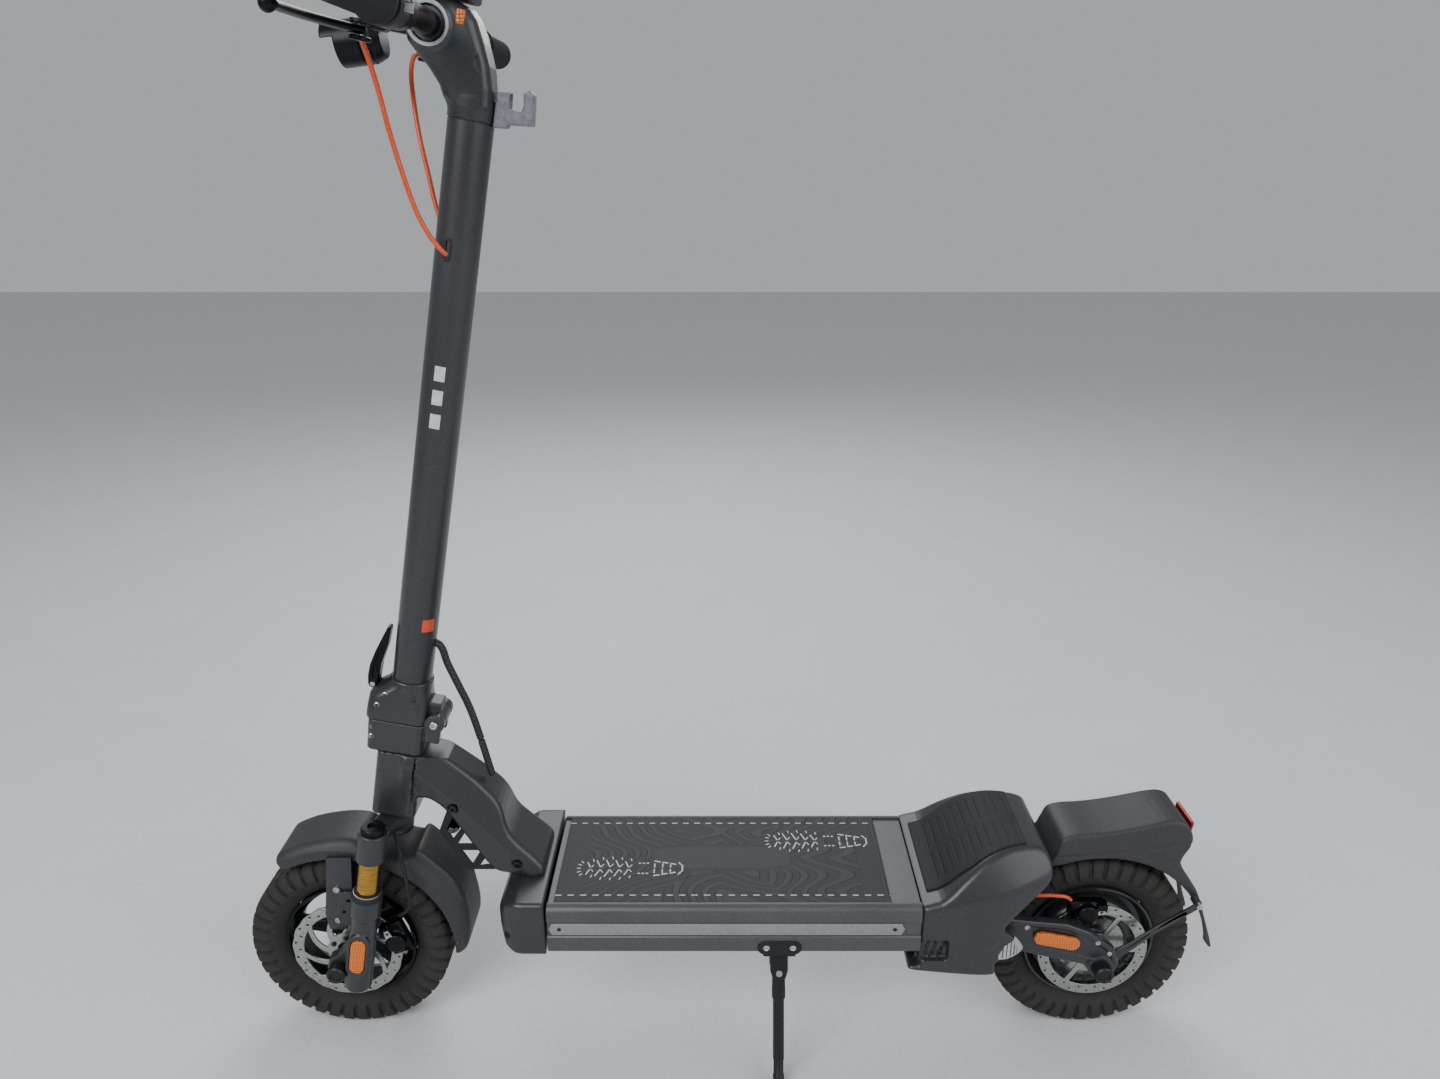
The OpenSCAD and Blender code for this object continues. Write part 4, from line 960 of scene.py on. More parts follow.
# The front fender, its side tabs and their bolts.
def makeFrontFender():
    shape = skin(frontFender, (-160, -43, -12), (78, 43, 166), 2.0, fenderPlace)
    addPiece("frontFender", *shape, "fork_slider", "fender", ["front_fender"], sharp=50)
    tab = [[-6, 37], [16, 37], [19, 60], [12, 109], [8, 143], [-23, 144], [-18, 80]]
    for s, name in ((1, "Left"), (-1, "Right")):
        points, faces = plate(tab, [circleLoop(2.4, 3, 52, 14), circleLoop(2.4, 0, 98, 14)], 4.8, 0.8,
                              frontAxle + np.array([0, s * 43 * mm, 0]),
                              (1, 0, 0), (0, 0, 1))
        addPiece("fenderTab" + name, points, faces, "fork_slider", "gunmetal")
        bolts = [turned([(s * 45.2, 0), (s * 45.4, 4.4), (s * 47.4, 4.2), (s * 48, 2.4), (s * 47, 2.2),
                         (s * 47, 0)][::s], frontAxle + mm * np.array([u, 0, w]), (0, 1, 0), 20)
                 for u, w in ((3, 52), (0, 98))]
        addPiece("fenderBolts" + name, *together(*bolts), "fork_slider", "steel")


# A mechanical brake caliper: two halves round the disc, an arm, an adjuster and its bolts.
def caliperShape(x, y, z):
    base = roundBox(x, y, z, (0, 41.2, 0), (14.4, 6.4, 23.4), 3.5)
    pod = both(np.hypot(x, z + 2) - 13, np.abs(y - 48.5) - 8.2, 3)
    lug = roundBox(x, y, z, (9, 47, 16), (4.5, 7, 6.5), 2)
    shape = softMin(softMin(base, pod, 4), lug, 3)
    for w in (-17, 15):
        shape = cut(shape, both(np.hypot(x + 7, z - w) - 3.4, -(y - 45), 0.3), 0.5)
    return cut(shape, np.maximum(np.abs(y - 39) - 1.7, 22 - np.hypot(x + 60, z)), 0.4)


# The front and the rear brake caliper.
def makeCalipers():
    def placeFront(p):
        p = np.asarray(p) + [-71, 0, 0]
        c, s = math.cos(math.radians(20)), math.sin(math.radians(20))
        return frontAxle + mm * np.stack([p[..., 0] * c + p[..., 2] * s, p[..., 1],
                                          -p[..., 0] * s + p[..., 2] * c], -1)

    def placeRear(p):
        p = np.asarray(p)
        return rearAxle + mm * np.stack([20 - p[..., 2] - 4, p[..., 1], 66 + p[..., 0] * 0.96], -1)

    for name, place, body, lo, hi in (("front", placeFront, "fork_slider", (-15, 34.8, -24), (15, 57, 24)),
                                      ("rear", placeRear, "arm", (-14, 34.8, -24), (14.5, 57, 24))):
        shape = skin(caliperShape, lo, hi, 1.2, place)
        addPiece(name + "Caliper", *shape, body, "black_alloy", [name + "_caliper"], sharp=45)
        arm = plate([[-4, -6], [6, -5], [9, 6], [6, 20], [0, 20], [-2, 6]], [circleLoop(1.8, 3, 15, 12)], 2.4,
                    0.4, (0, 0, 0), (1, 0, 0), (0, 1, 0))
        pts = np.c_[arm[0][:, 0], arm[0][:, 2], arm[0][:, 1]] / mm
        pts[:, 1] = pts[:, 1] + 54.6 - (2.2 if name == "rear" else 0)
        addPiece(name + "CaliperArm", place(pts), [f[:, ::-1] for f in arm[1]], body, "steel", sharp=30)


makeFork()
makeCrown()
makeFrontFender()
makeCalipers()
print("fork done")


# Smooth taper between two widths as height goes from one value to another.
def taper(value, lo, hi, a, b):
    t = np.clip((value - lo) / (hi - lo), 0, 1)
    t = t * t * (3 - 2 * t)
    return a + (b - a) * t


# A bar seen from above: flat sides, rounded front and back.
def planBar(x, y, front, back, half, r):
    cx, hx = (front + back) / 2, (front - back) / 2
    q1, q2 = np.abs(x - cx) - hx + r, np.abs(y) - half + r
    return np.hypot(np.maximum(q1, 0), np.maximum(q2, 0)) + np.minimum(np.maximum(q1, q2), 0) - r


# The folding casting that turns with the stem.
def foldHead(x, y, z):
    front = taper(z, 353, 378, 45, 25)
    back = taper(z, 330, 372, -26, -25)
    half = taper(z, 330, 377, 28.4, 25)
    r = taper(z, 335, 374, 10, 24)
    shape = both(planBar(x, y, front, back, half, r), np.abs(z - 352) - 26, 2.2)
    ear = both(np.hypot(x + 36, z - 330) - 11.8, np.abs(y) - 12.4, 1.2)
    web = roundBox(x, y, z, (-30, 0, 343), (10, 12.4, 9), 2)
    shape = softMin(shape, softMin(ear, web, 3), 3)
    pocket = np.maximum(np.maximum(np.abs(y) - 9.6, -(x - 37)), -(z - 351))
    shape = cut(shape, pocket, 1.0)
    side = both(np.abs(x + 14) - 7, np.abs(z - 358) - 0.6, 0.2)
    shape = cut(shape, np.maximum(side, -(np.abs(y) - 24)), 0.3)
    return cut(shape, np.maximum(np.hypot(x, y) - 22.6, 372 - z), 0.3)


# The folding casting on the steerer.
def foldBase(x, y, z):
    shape = both(planBar(x, y, taper(z, 285, 325, 41, 42), -26, taper(z, 285, 320, 27, 28), 9),
                 np.abs(z - 305.05) - 20.6, 1.6)
    a = np.abs(y)
    ear = both(np.hypot(x + 36, z - 330) - 11.8, np.abs(a - 19) - 5.8, 1.4)
    web = roundBox(x, a, z, (-35, 19, 316), (9, 5.8, 11.4), 2)
    shape = softMin(shape, np.minimum(ear, web), 2)
    return cut(shape, np.maximum(np.hypot(x + 36, z - 330) - 12.6, a - 12.9), 0.4)


# The gooseneck: the stem's end leans forward into a round clamp for the handlebar.
def stemHead(x, y, z):
    side = outlineDistance([[-23, 0], [23, 0], [24.6, 12], [31, 26], [42, 39], [55, 50], [64, 59], [67.6, 70],
                            [66, 82], [60, 93],
                            [50, 100.5], [36, 102.6], [20, 101.6], [9, 98], [1, 89], [-8, 70], [-16, 50],
                            [-20.6, 30]], x, z)
    half = taper(z, 10, 70, 23, 26.5)
    body = both(side, np.abs(y) - half, 12)
    tube = both(np.hypot(x, y) - 22.9, np.abs(z - 10) - 10, 0.6)
    body = np.maximum(body, np.hypot(x, y) - 23 - 70 * np.clip((z - 3) / 44, 0, 1) ** 2)
    clamp = both(np.hypot(x - 44, z - 77) - 20.8, np.abs(y) - 28.8, 2.5)
    shape = softMin(softMin(body, tube, 3), clamp, 6)
    shape = cut(shape, both(np.hypot(x - 44, z - 77) - 16, -(np.abs(y) - 26), 0.3), 0.6)
    wedge = outlineDistance([[-13, 41], [-4, 60], [-3, 48]], x, z)
    return cut(shape, both(wedge, -(np.abs(y) - 24.5), 0.3), 0.5)


# Folding castings, stem tube, head and bolts.
def makeStem():
    addPiece("foldHead", *skin(foldHead, (-49, -29, 325), (46, 29, 379), 1.3, onSteer), "stem", "gunmetal",
             ["fold_head"], sharp=50)
    addPiece("foldBase", *skin(foldBase, (-48, -29, 284), (43, 29, 343), 1.3, onSteer), "fork", "gunmetal",
             ["fold_base"], sharp=50)
    pin = onSteer([-36, 0, 330])
    addPiece("foldPin", *turned([(-28, 0), (-28, 4), (-27, 5), (27, 5), (28, 4), (28, 2.4), (26, 2.2),
                                 (26, 0)], pin, (0, 1, 0), 32), "fork", "steel", ["fold_pin"])
    screws = {"stem": [(24, 360), (32, 346)], "fork": [(34, 316), (35, 303)]}
    for body, places in screws.items():
        shapes = []
        for s in (1, -1):
            for u, w in places:
                out = 25.4 if w > 350 else 27.2
                shapes.append(turned([(s * (out - 8), 0), (s * (out - 8), 3.6), (s * (out - 0.2), 3.6),
                                      (s * (out + 0.6), 2.4), (s * (out - 0.4), 1.9),
                                      (s * (out - 0.4), 0)][::s],
                                     onSteer([u, 0, w]), (0, 1, 0), 20))
        addPiece(body + "Screws", *together(*shapes), body, "steel")
    head = onSteer([0, 0, stemTop])
    tube = [(-640, 0), (-640, 22.8), (-639, 23), (-1.6, 23), (-0.9, 22.3), (-0.2, 22.4), (-0.2, 0)]
    addPiece("stemTube", *turned(tube, head, steerUp, 96), "stem", "gunmetal", ["stem_tube"])
    gooseneck = skin(lambda x, y, z: stemHead(x, y, z), (-24, -30, 0), (69, 30, 104), 1.5,
                     lambda p: onSteer(np.asarray(p) + [0, 0, stemTop]))
    addPiece("stemHead", *gooseneck, "stem", "gunmetal", ["stem_head"], sharp=50)
    bar = onSteer([barAhead, 0, barUp])
    for s, side in ((1, "Left"), (-1, "Right")):
        y = (0, s, 0)
        rim = turned([(25.4, 16.4), (29, 16.6), (29.6, 18), (29.4, 20.4), (26, 20.6)], bar, y, 48)
        addPiece("clampRing" + side, *rim, "stem", "grey_plastic")
        grommet = plate(roundedBar(24, 8.4), [roundedBar(17.6, 3.6)], 2.6, 0.7, (0, 0, 0), (1, 0, 0), (0, 1, 0))
        pts = grommet[0] / mm
        place = onSteer(np.c_[pts[:, 0] + 5, s * (22.3 + pts[:, 2]) , pts[:, 1] + stemTop - 126])
        addPiece("grommet" + side, place, [f if s < 0 else f[:, ::-1] for f in grommet[1]], "stem", "rubber")
        shape = turned([(0, 0), (0, 11.9), (300, 11.9), (302, 10.5), (302, 0)], bar, y, 40)
        addPiece("barHalf" + side, *shape, "stem", "black_alloy", ["handlebar"] if s > 0 else ())
        ribs = [(188, 0), (188, 19), (189, 19.4), (191.4, 19.3), (192.4, 17)]
        for k in range(28):
            b = 194 + k * 3.9
            ribs += [(b, 16.3), (b + 0.8, 15.5), (b + 2.6, 15.5), (b + 3.3, 16.3)]
        ribs += [(304, 16.4), (308.5, 15.6), (309.9, 13.4), (309.9, 0)]
        addPiece("grip" + side, *turned(ribs, bar, y, 56), "stem", "rubber", ["grips"] if s > 0 else (),
                 sharp=60)
        addPiece("barPlug" + side, *turned([(309.0, 0), (309.0, 9), (309.95, 8.4), (309.95, 0)], bar, y, 40),
                 "stem", "black_plastic")


# Thin films wrapped on the stem tube: a dark label with an orange head, and plain pale bars.
def stemFilm(name, w0, w1, turn0, turn1, paint):
    turn = np.radians(np.linspace(turn0, turn1, 12))
    rings = []
    for r in (22.95, 23.12):
        ring = np.array([[[r * math.sin(t), r * math.cos(t), w] for t in turn] for w in np.linspace(w0, w1, 4)])
        rings.append(ring)
    n, m = 4, 12
    points = onSteer(np.concatenate([rings[1].reshape(-1, 3), rings[0].reshape(-1, 3)]))
    faces = gridFaces(n, m, wrapped=False)
    rim = np.concatenate([np.arange(m), np.arange(1, n) * m + m - 1, (n - 1) * m + np.arange(m - 2, -1, -1),
                          np.arange(n - 2, 0, -1) * m])
    nxt = np.roll(rim, -1)
    sides = np.stack([nxt, rim, rim + n * m, nxt + n * m], 1)
    return addPiece(name, points, [faces, faces[:, ::-1] + n * m, sides], "stem", paint, sharp=40)


# The films on the stem tube.
def makeFilms():
    stemFilm("stemLabel", 402, 446, -62, -24, "sticker_dark")
    stemFilm("stemLabelHead", 446.4, 462, -62, -24, "cable_orange")
    for s, side in ((1, "Left"), (-1, "Right")):
        for k in range(3):
            a0, a1 = (-14, 14) if s > 0 else (166, 194)
            stemFilm("stemBar%d%s" % (k, side), 690 + k * 26, 706 + k * 26, a0, a1, "sole_white")


# The two brake cables at the bar.
def makeCables():
    left = [[80, 101.6, 55], [84, 92, 54], [86, 80, 48], [83, 66, 33], [76, 53, 8], [66, 45, -24],
            [52, 39, -60],
            [38, 33, -92], [24, 28, -114], [12, 25, -126], [5, 21, -132]]
    right = [[80, -101.6, 55], [83, -92, 53], [84, -80, 46], [80, -64, 30], [71, -51, 4], [60, -43, -28],
             [46, -37, -62],
             [33, -32, -94], [21, -28, -114], [12, -25, -125], [5, -21, -132]]
    for route, name in ((left, "Left"), (right, "Right")):
        line = smoothLine(route, 8) + [0, 0, stemTop]
        addSweep("brakeCable" + name, line, 2.5, "stem", "cable_orange", place=onSteer, sides=16,
                 stands=["brake_cables"] if name == "Left" else ())
        addSweep("cableEnd" + name, line[:7], 3.3, "stem", "black_metal", place=onSteer, sides=16)


loomRoute = [[330, 0, 538], [323, 0, 514], [314, 0, 489], [304, 0, 462], [297, 0, 437], [290, 0, 405],
             [285, 0, 380], [281, 0, 361]]


# The braided loom, in two halves.
def makeLoom():
    line = smoothLine(np.array([[349, 0, 547]] + loomRoute, float) + [middle / mm, 0, 0], 10)
    half = int(len(line) * 0.72)
    upper = addSweep("loomUpper", line[:half + 1], 4.4, None, "braid", sides=20, stands=())
    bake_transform(upper)
    lower = addSweep("loomLower", line[half:], 4.4, None, "braid", sides=20, stands=["stem_loom"])
    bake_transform(lower)


makeStem()
makeFilms()
makeCables()
makeLoom()
print("stem done")


deckArt = {"width": 195, "height": 66, "under": 173, "front": 220.75, "rear": -229.25, "matLength": 406,
           "matWidth": 172}  # mm


# Deck extrusion, mat, side strips and their screws.
def makeDeck():
    d = deckArt
    half, h = d["width"] / 2, d["height"]
    arc = lambda cy, cz, r, a0, a1, n=10: [(cy + r * math.cos(a),
                                            cz + r * math.sin(a)) for a in np.radians(np.linspace(a0, a1, n))]
    right = arc(half - 6, 6, 6, -90, 0) + [(half - 0.1, 14), (half, 15), (half, 23.6), (half - 0.8, 24.6),
                                           (half - 2.4, 25.2), (half - 2.4, 43.8),
            (half - 0.8, 44.4), (half, 45.4), (half, 55)] + arc(half - 11, h - 11, 11, 0, 90, 14) + [
            (86.6, h), (86.4, h - 0.4), (86.4, h - 3)]
    profile = np.array(right + [(-a, b) for a, b in right[::-1]])
    xs = np.array([d["rear"], d["rear"] + 0.8, d["front"] - 0.8, d["front"]])
    inset = np.array([0.6, 0, 0, 0.6])
    rings = []
    centre = np.array([0, h / 2])
    for x, k in zip(xs, inset):
        p = centre + (profile - centre) * [1 - k / half, 1 - 2 * k / h]
        rings.append(np.c_[np.full(len(p), x), p[:, 0], p[:, 1] + d["under"]])
    n, m = len(rings), len(profile)
    points = np.concatenate(rings) * mm
    faces = [gridFaces(n, m)]
    cap = np.arange(m)
    addPiece("deckBody", points, faces + [cap[::-1][None], (cap + (n - 1) * m)[None]], "frame", "deck_alloy",
             ["deck_frame"], sharp=32)
    for s, side in ((1, "Left"), (-1, "Right")):
        bar = plate([[d["rear"] + 24, 26.4], [d["front"] - 6, 26.4], [d["front"] - 2, 35],
                     [d["front"] - 6, 42.8], [d["rear"] + 24, 42.8], [d["rear"] + 20, 35]],
                    [], 1.8, 0.4, (0, s * (half - 1.5) * mm, d["under"] * mm), (s * 1.0, 0, 0), (0, 0, 1))
        pts = bar[0] * [s, 1, 1]
        pts[:, 0] *= 1
        points = bar[0].copy()
        points[:, 0] *= s
        faces = bar[1] if s > 0 else [f[:, ::-1] for f in bar[1]]
        addPiece("sideStrip" + side, points, faces, "frame", "side_silver", sharp=30)
        dots = [turned([(0, 0), (0, 2.6), (0.5, 2.4), (0.7, 0)],
                       (mm * x, s * (half - 0.75) * mm, (d["under"] + 34.6) * mm), (0, s, 0), 16)
                for x in (d["rear"] + 32, d["front"] - 15)]
        addPiece("stripScrews" + side, *together(*dots), "frame", "black_metal")
    front = d["front"] - 8
    x = np.linspace(front - d["matLength"], front, 204)
    y = np.linspace(-d["matWidth"] / 2, d["matWidth"] / 2, 87)
    gx, gy = np.meshgrid(x, y, indexing="ij")
    edge = np.minimum(np.minimum(gx - x[0], x[-1] - gx), d["matWidth"] / 2 - np.abs(gy))
    top = d["under"] + h - 0.5 + 0.45 * np.clip(edge / 1.5, 0, 1) - 0.35 * np.exp(-((edge - 5.5) / 1.0) ** 2)
    n, m = gx.shape
    upper = np.stack([gx, gy, top], -1).reshape(-1, 3)
    lower = upper * [1, 1, 0] + [0, 0, d["under"] + h - 3]
    faces = gridFaces(n, m, wrapped=False)
    rim = np.concatenate([np.arange(m), np.arange(1, n) * m + m - 1, (n - 1) * m + np.arange(m - 2, -1, -1),
                          np.arange(n - 2, 0, -1) * m])
    nxt = np.roll(rim, -1)
    sides = np.stack([rim, nxt, nxt + n * m, rim + n * m], 1)
    addPiece("deckMat", np.concatenate([upper, lower]) * mm, [faces[:, ::-1], faces + n * m, sides], "frame",
             "mat", ["deck_mat"], sharp=60)
    makeSoles(top=d["under"] + h)


# Thin flat bars (x, y, length, width, turn in degrees) on the plane at height z, in mm.
def flatBars(bars, z):
    b = np.asarray(bars, float)
    c, n = np.cos(np.radians(b[:, 4])), np.sin(np.radians(b[:, 4]))
    corner = np.array([[-1, -1], [1, -1], [1, 1], [-1, 1]]) / 2
    u, v = corner[:, 0] * b[:, 2:3], corner[:, 1] * b[:, 3:4]
    flat = np.stack([b[:, :1] + u * c[:, None] - v * n[:, None], b[:, 1:2] + u * n[:, None] + v * c[:, None]],
                    -1)
    points = np.concatenate([np.concatenate([flat, np.full(flat.shape[:2] + (1,), h)], -1) for h in (z - 0.3,
            z)], 1)
    box = np.array([[0, 3, 2, 1], [4, 5, 6, 7], [0, 1, 5, 4], [1, 2, 6, 5], [2, 3, 7, 6], [3, 0, 4, 7]])
    faces = (np.arange(len(b)) * 8)[:, None, None] + box
    return points.reshape(-1, 3) * mm, [faces.reshape(-1, 4)]


soleArt = {"left": (150, 22), "right": (-88, -34), "toe": 31, "heel": 20}  # millimetres


# Two pale sole marks, each a toe and a heel drawn with short strokes.
def makeSoles(top):
    bars = []
    for cx, cy in (soleArt["left"], soleArt["right"]):
        for k in range(5):
            x = cx + 28 - k * 12
            reach = (14, 18, 19, 18, 15)[k]
            for s in (1, -1):
                bars.append((x, cy + s * reach * 0.5, reach * 0.8, 1.6, 90 - s * 22))
                bars.append((x - 5, cy + s * reach * 0.3, reach * 0.36, 1.3, 90 + s * 30))
                bars.append((x - 5, cy + s * (reach + 1.6), 5.0, 1.3, 90 - s * 12))
        for k in range(5):
            a = math.radians(-50 + 25 * k)
            bars.append((cx + 30 + 10 * math.cos(a), cy + 16 * math.sin(a), 5.0, 1.4, math.degrees(a)))
        for k in range(3):
            for s in (1, -1):
                bars.append((cx - 36 - k * 5, cy + s * 10, 3.0, 2.0, 0))
        for k in range(3):
            x = cx - 58 - k * 10
            for s in (1, -1):
                bars.append((x, cy + s * (13.5 - 2.4 * k), 8.0, 2.0, s * 14))
                bars.append((x + 3, cy + s * 5.5, 8.0, 1.6, 90))
        bars.append((cx - 90, cy, 13, 1.8, 90))
        for s in (1, -1):
            bars.append((cx - 87, cy + s * 9, 7, 1.6, 90 - s * 35))
    addPiece("soleMarks", *flatBars(bars, top + 0.02), "frame", "sole_white")


# The casting at the deck's front end.
def noseShape(x, y, z):
    a = np.abs(y)
    side = outlineDistance([[221.2, 170.4], [262, 170.4], [275, 177], [282, 205], [282.4, 224], [274, 238],
                            [258, 244.6], [221.2, 244.6]], x, z)
    corner = 34
    plan = np.hypot(np.maximum(x - (282.7 - corner), 0), np.maximum(a - (99.4 - corner), 0)) - corner
    plan = np.maximum(np.maximum(plan, a - 99.4), 221.2 - x)
    shape = both(side, plan, 6)
    groove = np.maximum(np.abs(z - 236.2) - 0.5, -(a - 40))
    shape = cut(shape, np.maximum(groove, -(np.hypot(np.maximum(x - 240, 0), a) - 96)), 0.3)
    shape = cut(shape, both(np.hypot(x - 271, z - 196) - 5, -(a - 84), 0.4), 0.8)
    return cut(shape, both(np.hypot(x - 248.75, z - 207) - 12.4, y + 96.4, 0.3), 0.5)


# The neck that rises from the nose to the head tube.
def neckShape(x, y, z):
    a = np.abs(y)
    hx, hz = 396.56, 406.28
    side = outlineDistance(soften([[hx - 2, hz - 3], [hx - 14, hz + 0.5], [hx - 34, hz + 3.4],
                                   [hx - 52, hz - 8.5], [hx - 66, hz - 20], [hx - 92, hz - 43],
                            [hx - 116, hz - 70], [272, 300], [255, 281], [240, 266.5], [231, 256],
                            [229.4, 249], [229.4, 243],
                            [268, 243], [294, 241.6], [318, 279], [hx - 60, hz - 96], [hx - 47, hz - 74],
                            [hx - 30, hz - 62],
                            [hx - 14, hz - 62], [hx + 1, hz - 74], [hx + 4, hz - 40]]), x, z)
    t = np.clip((hx - 30 - x) / (hx - 30 - 208.75), 0, 1)
    half = 33 + 20 * t ** 1.15
    # a crease runs down each side: above it the side leans in
    crest = 399 - (hx - x) * 0.83 - 0.0012 * (hx - x) ** 2
    lean = np.clip(z - crest, 0, 80)
    wide = half - 0.32 * lean - 0.14 * np.clip(crest - z, 0, 60)
    arm = both(side, (a - wide) * 0.93, 5)
    u = (x - 450.75) * 0.98163 + (z - 127.5) * 0.19081
    w = -(x - 450.75) * 0.19081 + (z - 127.5) * 0.98163
    q1, q2 = np.abs(u - 1) - 26.8 + 9, a - 27.8 + 9
    tube = np.hypot(np.maximum(q1, 0), np.maximum(q2, 0)) + np.minimum(np.maximum(q1, q2), 0) - 9
    tube = both(tube, np.abs(w - 240) - 43.9, 1.8)
    shape = softMin(arm, tube, 5)
    shape = np.maximum(shape, w - 283.9)
    for bx, bz in ((261.75, 262), (336.75, 336)):
        shape = cut(shape, both(np.hypot(x - bx, z - bz) - 6.4, -(a - (wide - 3.0)), 0.4), 0.8)
    groove = np.maximum(np.abs(u + 20) - 1.0, np.abs(w - 240) - 42)
    shape = cut(shape, np.maximum(groove, -(a - 26)), 0.5)
    bore = np.hypot(u, y) - 21.8
    return cut(shape, np.maximum(bore, 15 - np.abs(w - 240) + 20), 0.3)


# The foot rest over the swing arm: a rounded wedge with an open window below it on each side.
rearOutline = [[0, 40], [24, 46], [52, 72], [78, 91], [104, 100.5], [132, 101.5], [152, 95.5], [159.6, 80],
               [158, 62], [130, 42], [110, 22], [99, 5],
               [112, -4], [123, -16], [129, -28], [112, -37.5], [92, -40], [95, -57], [90, -61.5], [40, -57.6],
               [-14, -51.6], [-14, -46.4], [0, -44]]

rearSmooth = np.concatenate([rearOutline[:1], soften(rearOutline)[2:-8], rearOutline[-3:]])


# The rear casting with its foot rest.
def rearShape(x, y, z):
    a = np.abs(y)
    u, w = -229.65 - x, z - 198
    side = outlineDistance(rearSmooth, u, w)
    wide = 99.0 - 27 * np.clip((w - 34) / 68, 0, 1) ** 1.6 - 16 * np.clip((u - 60) / 100, 0, 1) ** 2
    crease = np.clip(w - (30 + 0.30 * u), 0, 60)
    wide = wide - 0.16 * crease
    shape = both(side, (a - wide) * 0.94, 6)
    arch = outlineDistance([[112, -3], [124, -16], [140, -30], [140, -70], [98, -70], [60, -36], [20, -30],
                            [22, 20], [60, 30], [90, 20]], u, w)
    shape = cut(shape, np.maximum(arch, a - 87), 1.5)
    hub = both(np.hypot(x + 309.25, z - 190) - 12, np.abs(a - 93) - 5.6, 2)
    shape = softMin(shape, hub, 3)
    window = both(roundBox(u, w, 0 * u, (12, -20, 0), (21, 15, 99), 4), -(a - 91), 0.4)
    shape = cut(shape, window, 1.2)
    fins = np.maximum(np.maximum(np.abs((u - 0.3 * w) % 9 - 4.5) - 1.1, np.abs(w + 20) - 15.2),
                      np.maximum(np.abs(u - 12) - 21, np.abs(a - 92.6) - 1.6))
    return np.minimum(shape, fins)


# The ribbed grip pad on the foot rest.
def padShape(x, y, z):
    u, w = -229.65 - x, z - 198
    under = outlineDistance(rearSmooth, u, w)
    a = np.abs(y)
    layer = np.abs(under - 1.0) - 1.5
    v = 69 - 15 * np.clip((u - 60) / 70, 0, 1)
    bounds = np.maximum(np.maximum(8 - u, u - 128), a - v)
    bounds = np.maximum(bounds, -(w - 41.5))
    shape = both(layer, bounds, 1.4)
    slot_ = np.abs((u * 0.8 + w * 0.6) % 11 - 5.5) - 0.9
    lines = np.maximum(np.maximum(slot_, -(under - 1.7)), np.abs(a - 30) - 24)
    return cut(shape, lines, 0.3)


# Nose, neck, bracket, rear casting and their bolts.
def makeFrameBody():
    addPiece("noseCasting", *skin(noseShape, (221, -100, 170), (283, 100, 245), 2.0), "frame", "gunmetal",
             ["nose_casting"], sharp=50)
    addPiece("neckCasting", *skin(neckShape, (209, -54, 240), (440, 54, 411), 1.9), "frame", "gunmetal",
             ["neck_casting"], sharp=50)
    addPiece("rearCasting", *skin(rearShape, (-389, -99.4, 136), (-215, 99.4, 300), 2.2), "frame", "gunmetal",
             ["rear_casting"], sharp=50)
    addPiece("kickPad", *skin(padShape, (-362, -72, 238), (-236, 72, 303), 1.6), "frame", "rubber",
             ["kick_pad"], sharp=50)
    bolts = []
    for s in (1, -1):
        for bx, bz, half in ((261.75, 262, 46), (336.75, 336, 37)):
            bolts.append(turned([(s * (half - 4), 0), (s * (half - 4), 4.6), (s * (half + 0.4), 4.6),
                                 (s * (half + 1), 3.6), (s * (half + 1), 2.4),
                                 (s * (half - 1), 2.0), (s * (half - 1), 0)][::s], (bx * mm, 0, bz * mm),
                                 (0, 1, 0), 24))
    addPiece("neckBolts", *together(*bolts), "frame", "black_metal", ["frame_bolts"])
    holes = [[[322, 328], [336, 300], [330, 286], [317, 304]], [[312, 299], [325, 278], [297, 278]],
             [[322, 269], [297, 269], [309, 249]],
             [[286, 267], [300, 246], [278, 249]]]
    outline = [[300, 318], [331, 336], [346, 298], [317, 240.6], [281, 240.6], [268, 262]]
    for s, side in ((1, "Left"), (-1, "Right")):
        points, faces = plate(outline, holes, 3, 0.7, (middle, s * 25 * mm, 0), (1, 0, 0), (0, 0, 1))
        addPiece("lattice" + side, points, faces, "frame", "black_metal", ["neck_bracket"] if s > 0 else (),
                 sharp=35)
    spool = turned([(-23.2, 0), (-23.2, 8), (-21, 9.3), (21, 9.3), (23.2, 8), (23.2, 0)],
                   (middle + 0.3315, 0, 0.2995), (0, 1, 0), 48)
    boss = turned([(-28.8, 0), (-28.8, 3.2), (-28, 3.9), (28, 3.9), (28.8, 3.2), (28.8, 0)],
                  (middle + 0.3315, 0, 0.2995), (0, 1, 0), 32)
    addPiece("horn", *together(spool, boss), "frame", "screen", ["horn"])


makeDeck()
makeFrameBody()
print("frame body done")


# The swing arm: a plate on each side of the rear wheel.
def swingArm(x, y, z):
    a = np.abs(y)
    u, w = x + 309.25, z - 190
    side = outlineDistance([[7.4, 12], [11, 0], [7.4, -16], [-10, -29.4], [-50, -37.4], [-96, -49.4],
                            [-130, -57.4], [-142, -71], [-156, -77.2],
                            [-169, -71.6], [-175.2, -58], [-167.4, -34.6], [-134, -8.8], [-104, 3.4],
                            [-62, 7.4], [-20, 13.4]], u, w)
    arm = both(side, np.abs(a - 65) - 6.8, 2.6)
    dish = both(side + 7, -(a - 70.4), 0.5)
    arm = cut(arm, dish, 1.2)
    rib = np.maximum(np.maximum(np.abs(w + 12 - 0.28 * u) - 2.2, side + 6), a - 71.6)
    arm = softMin(arm, np.maximum(rib, 60 - a), 1.5)
    boss = both(np.hypot(u, w) - 11, np.abs(a - 65) - 6.6, 1.4)
    end = both(np.hypot(x + 462.25, z - 127.5) - 15.5, np.abs(a - 65) - 6.8, 1.4)
    arm = softMin(arm, np.minimum(boss, end), 2)
    return arm


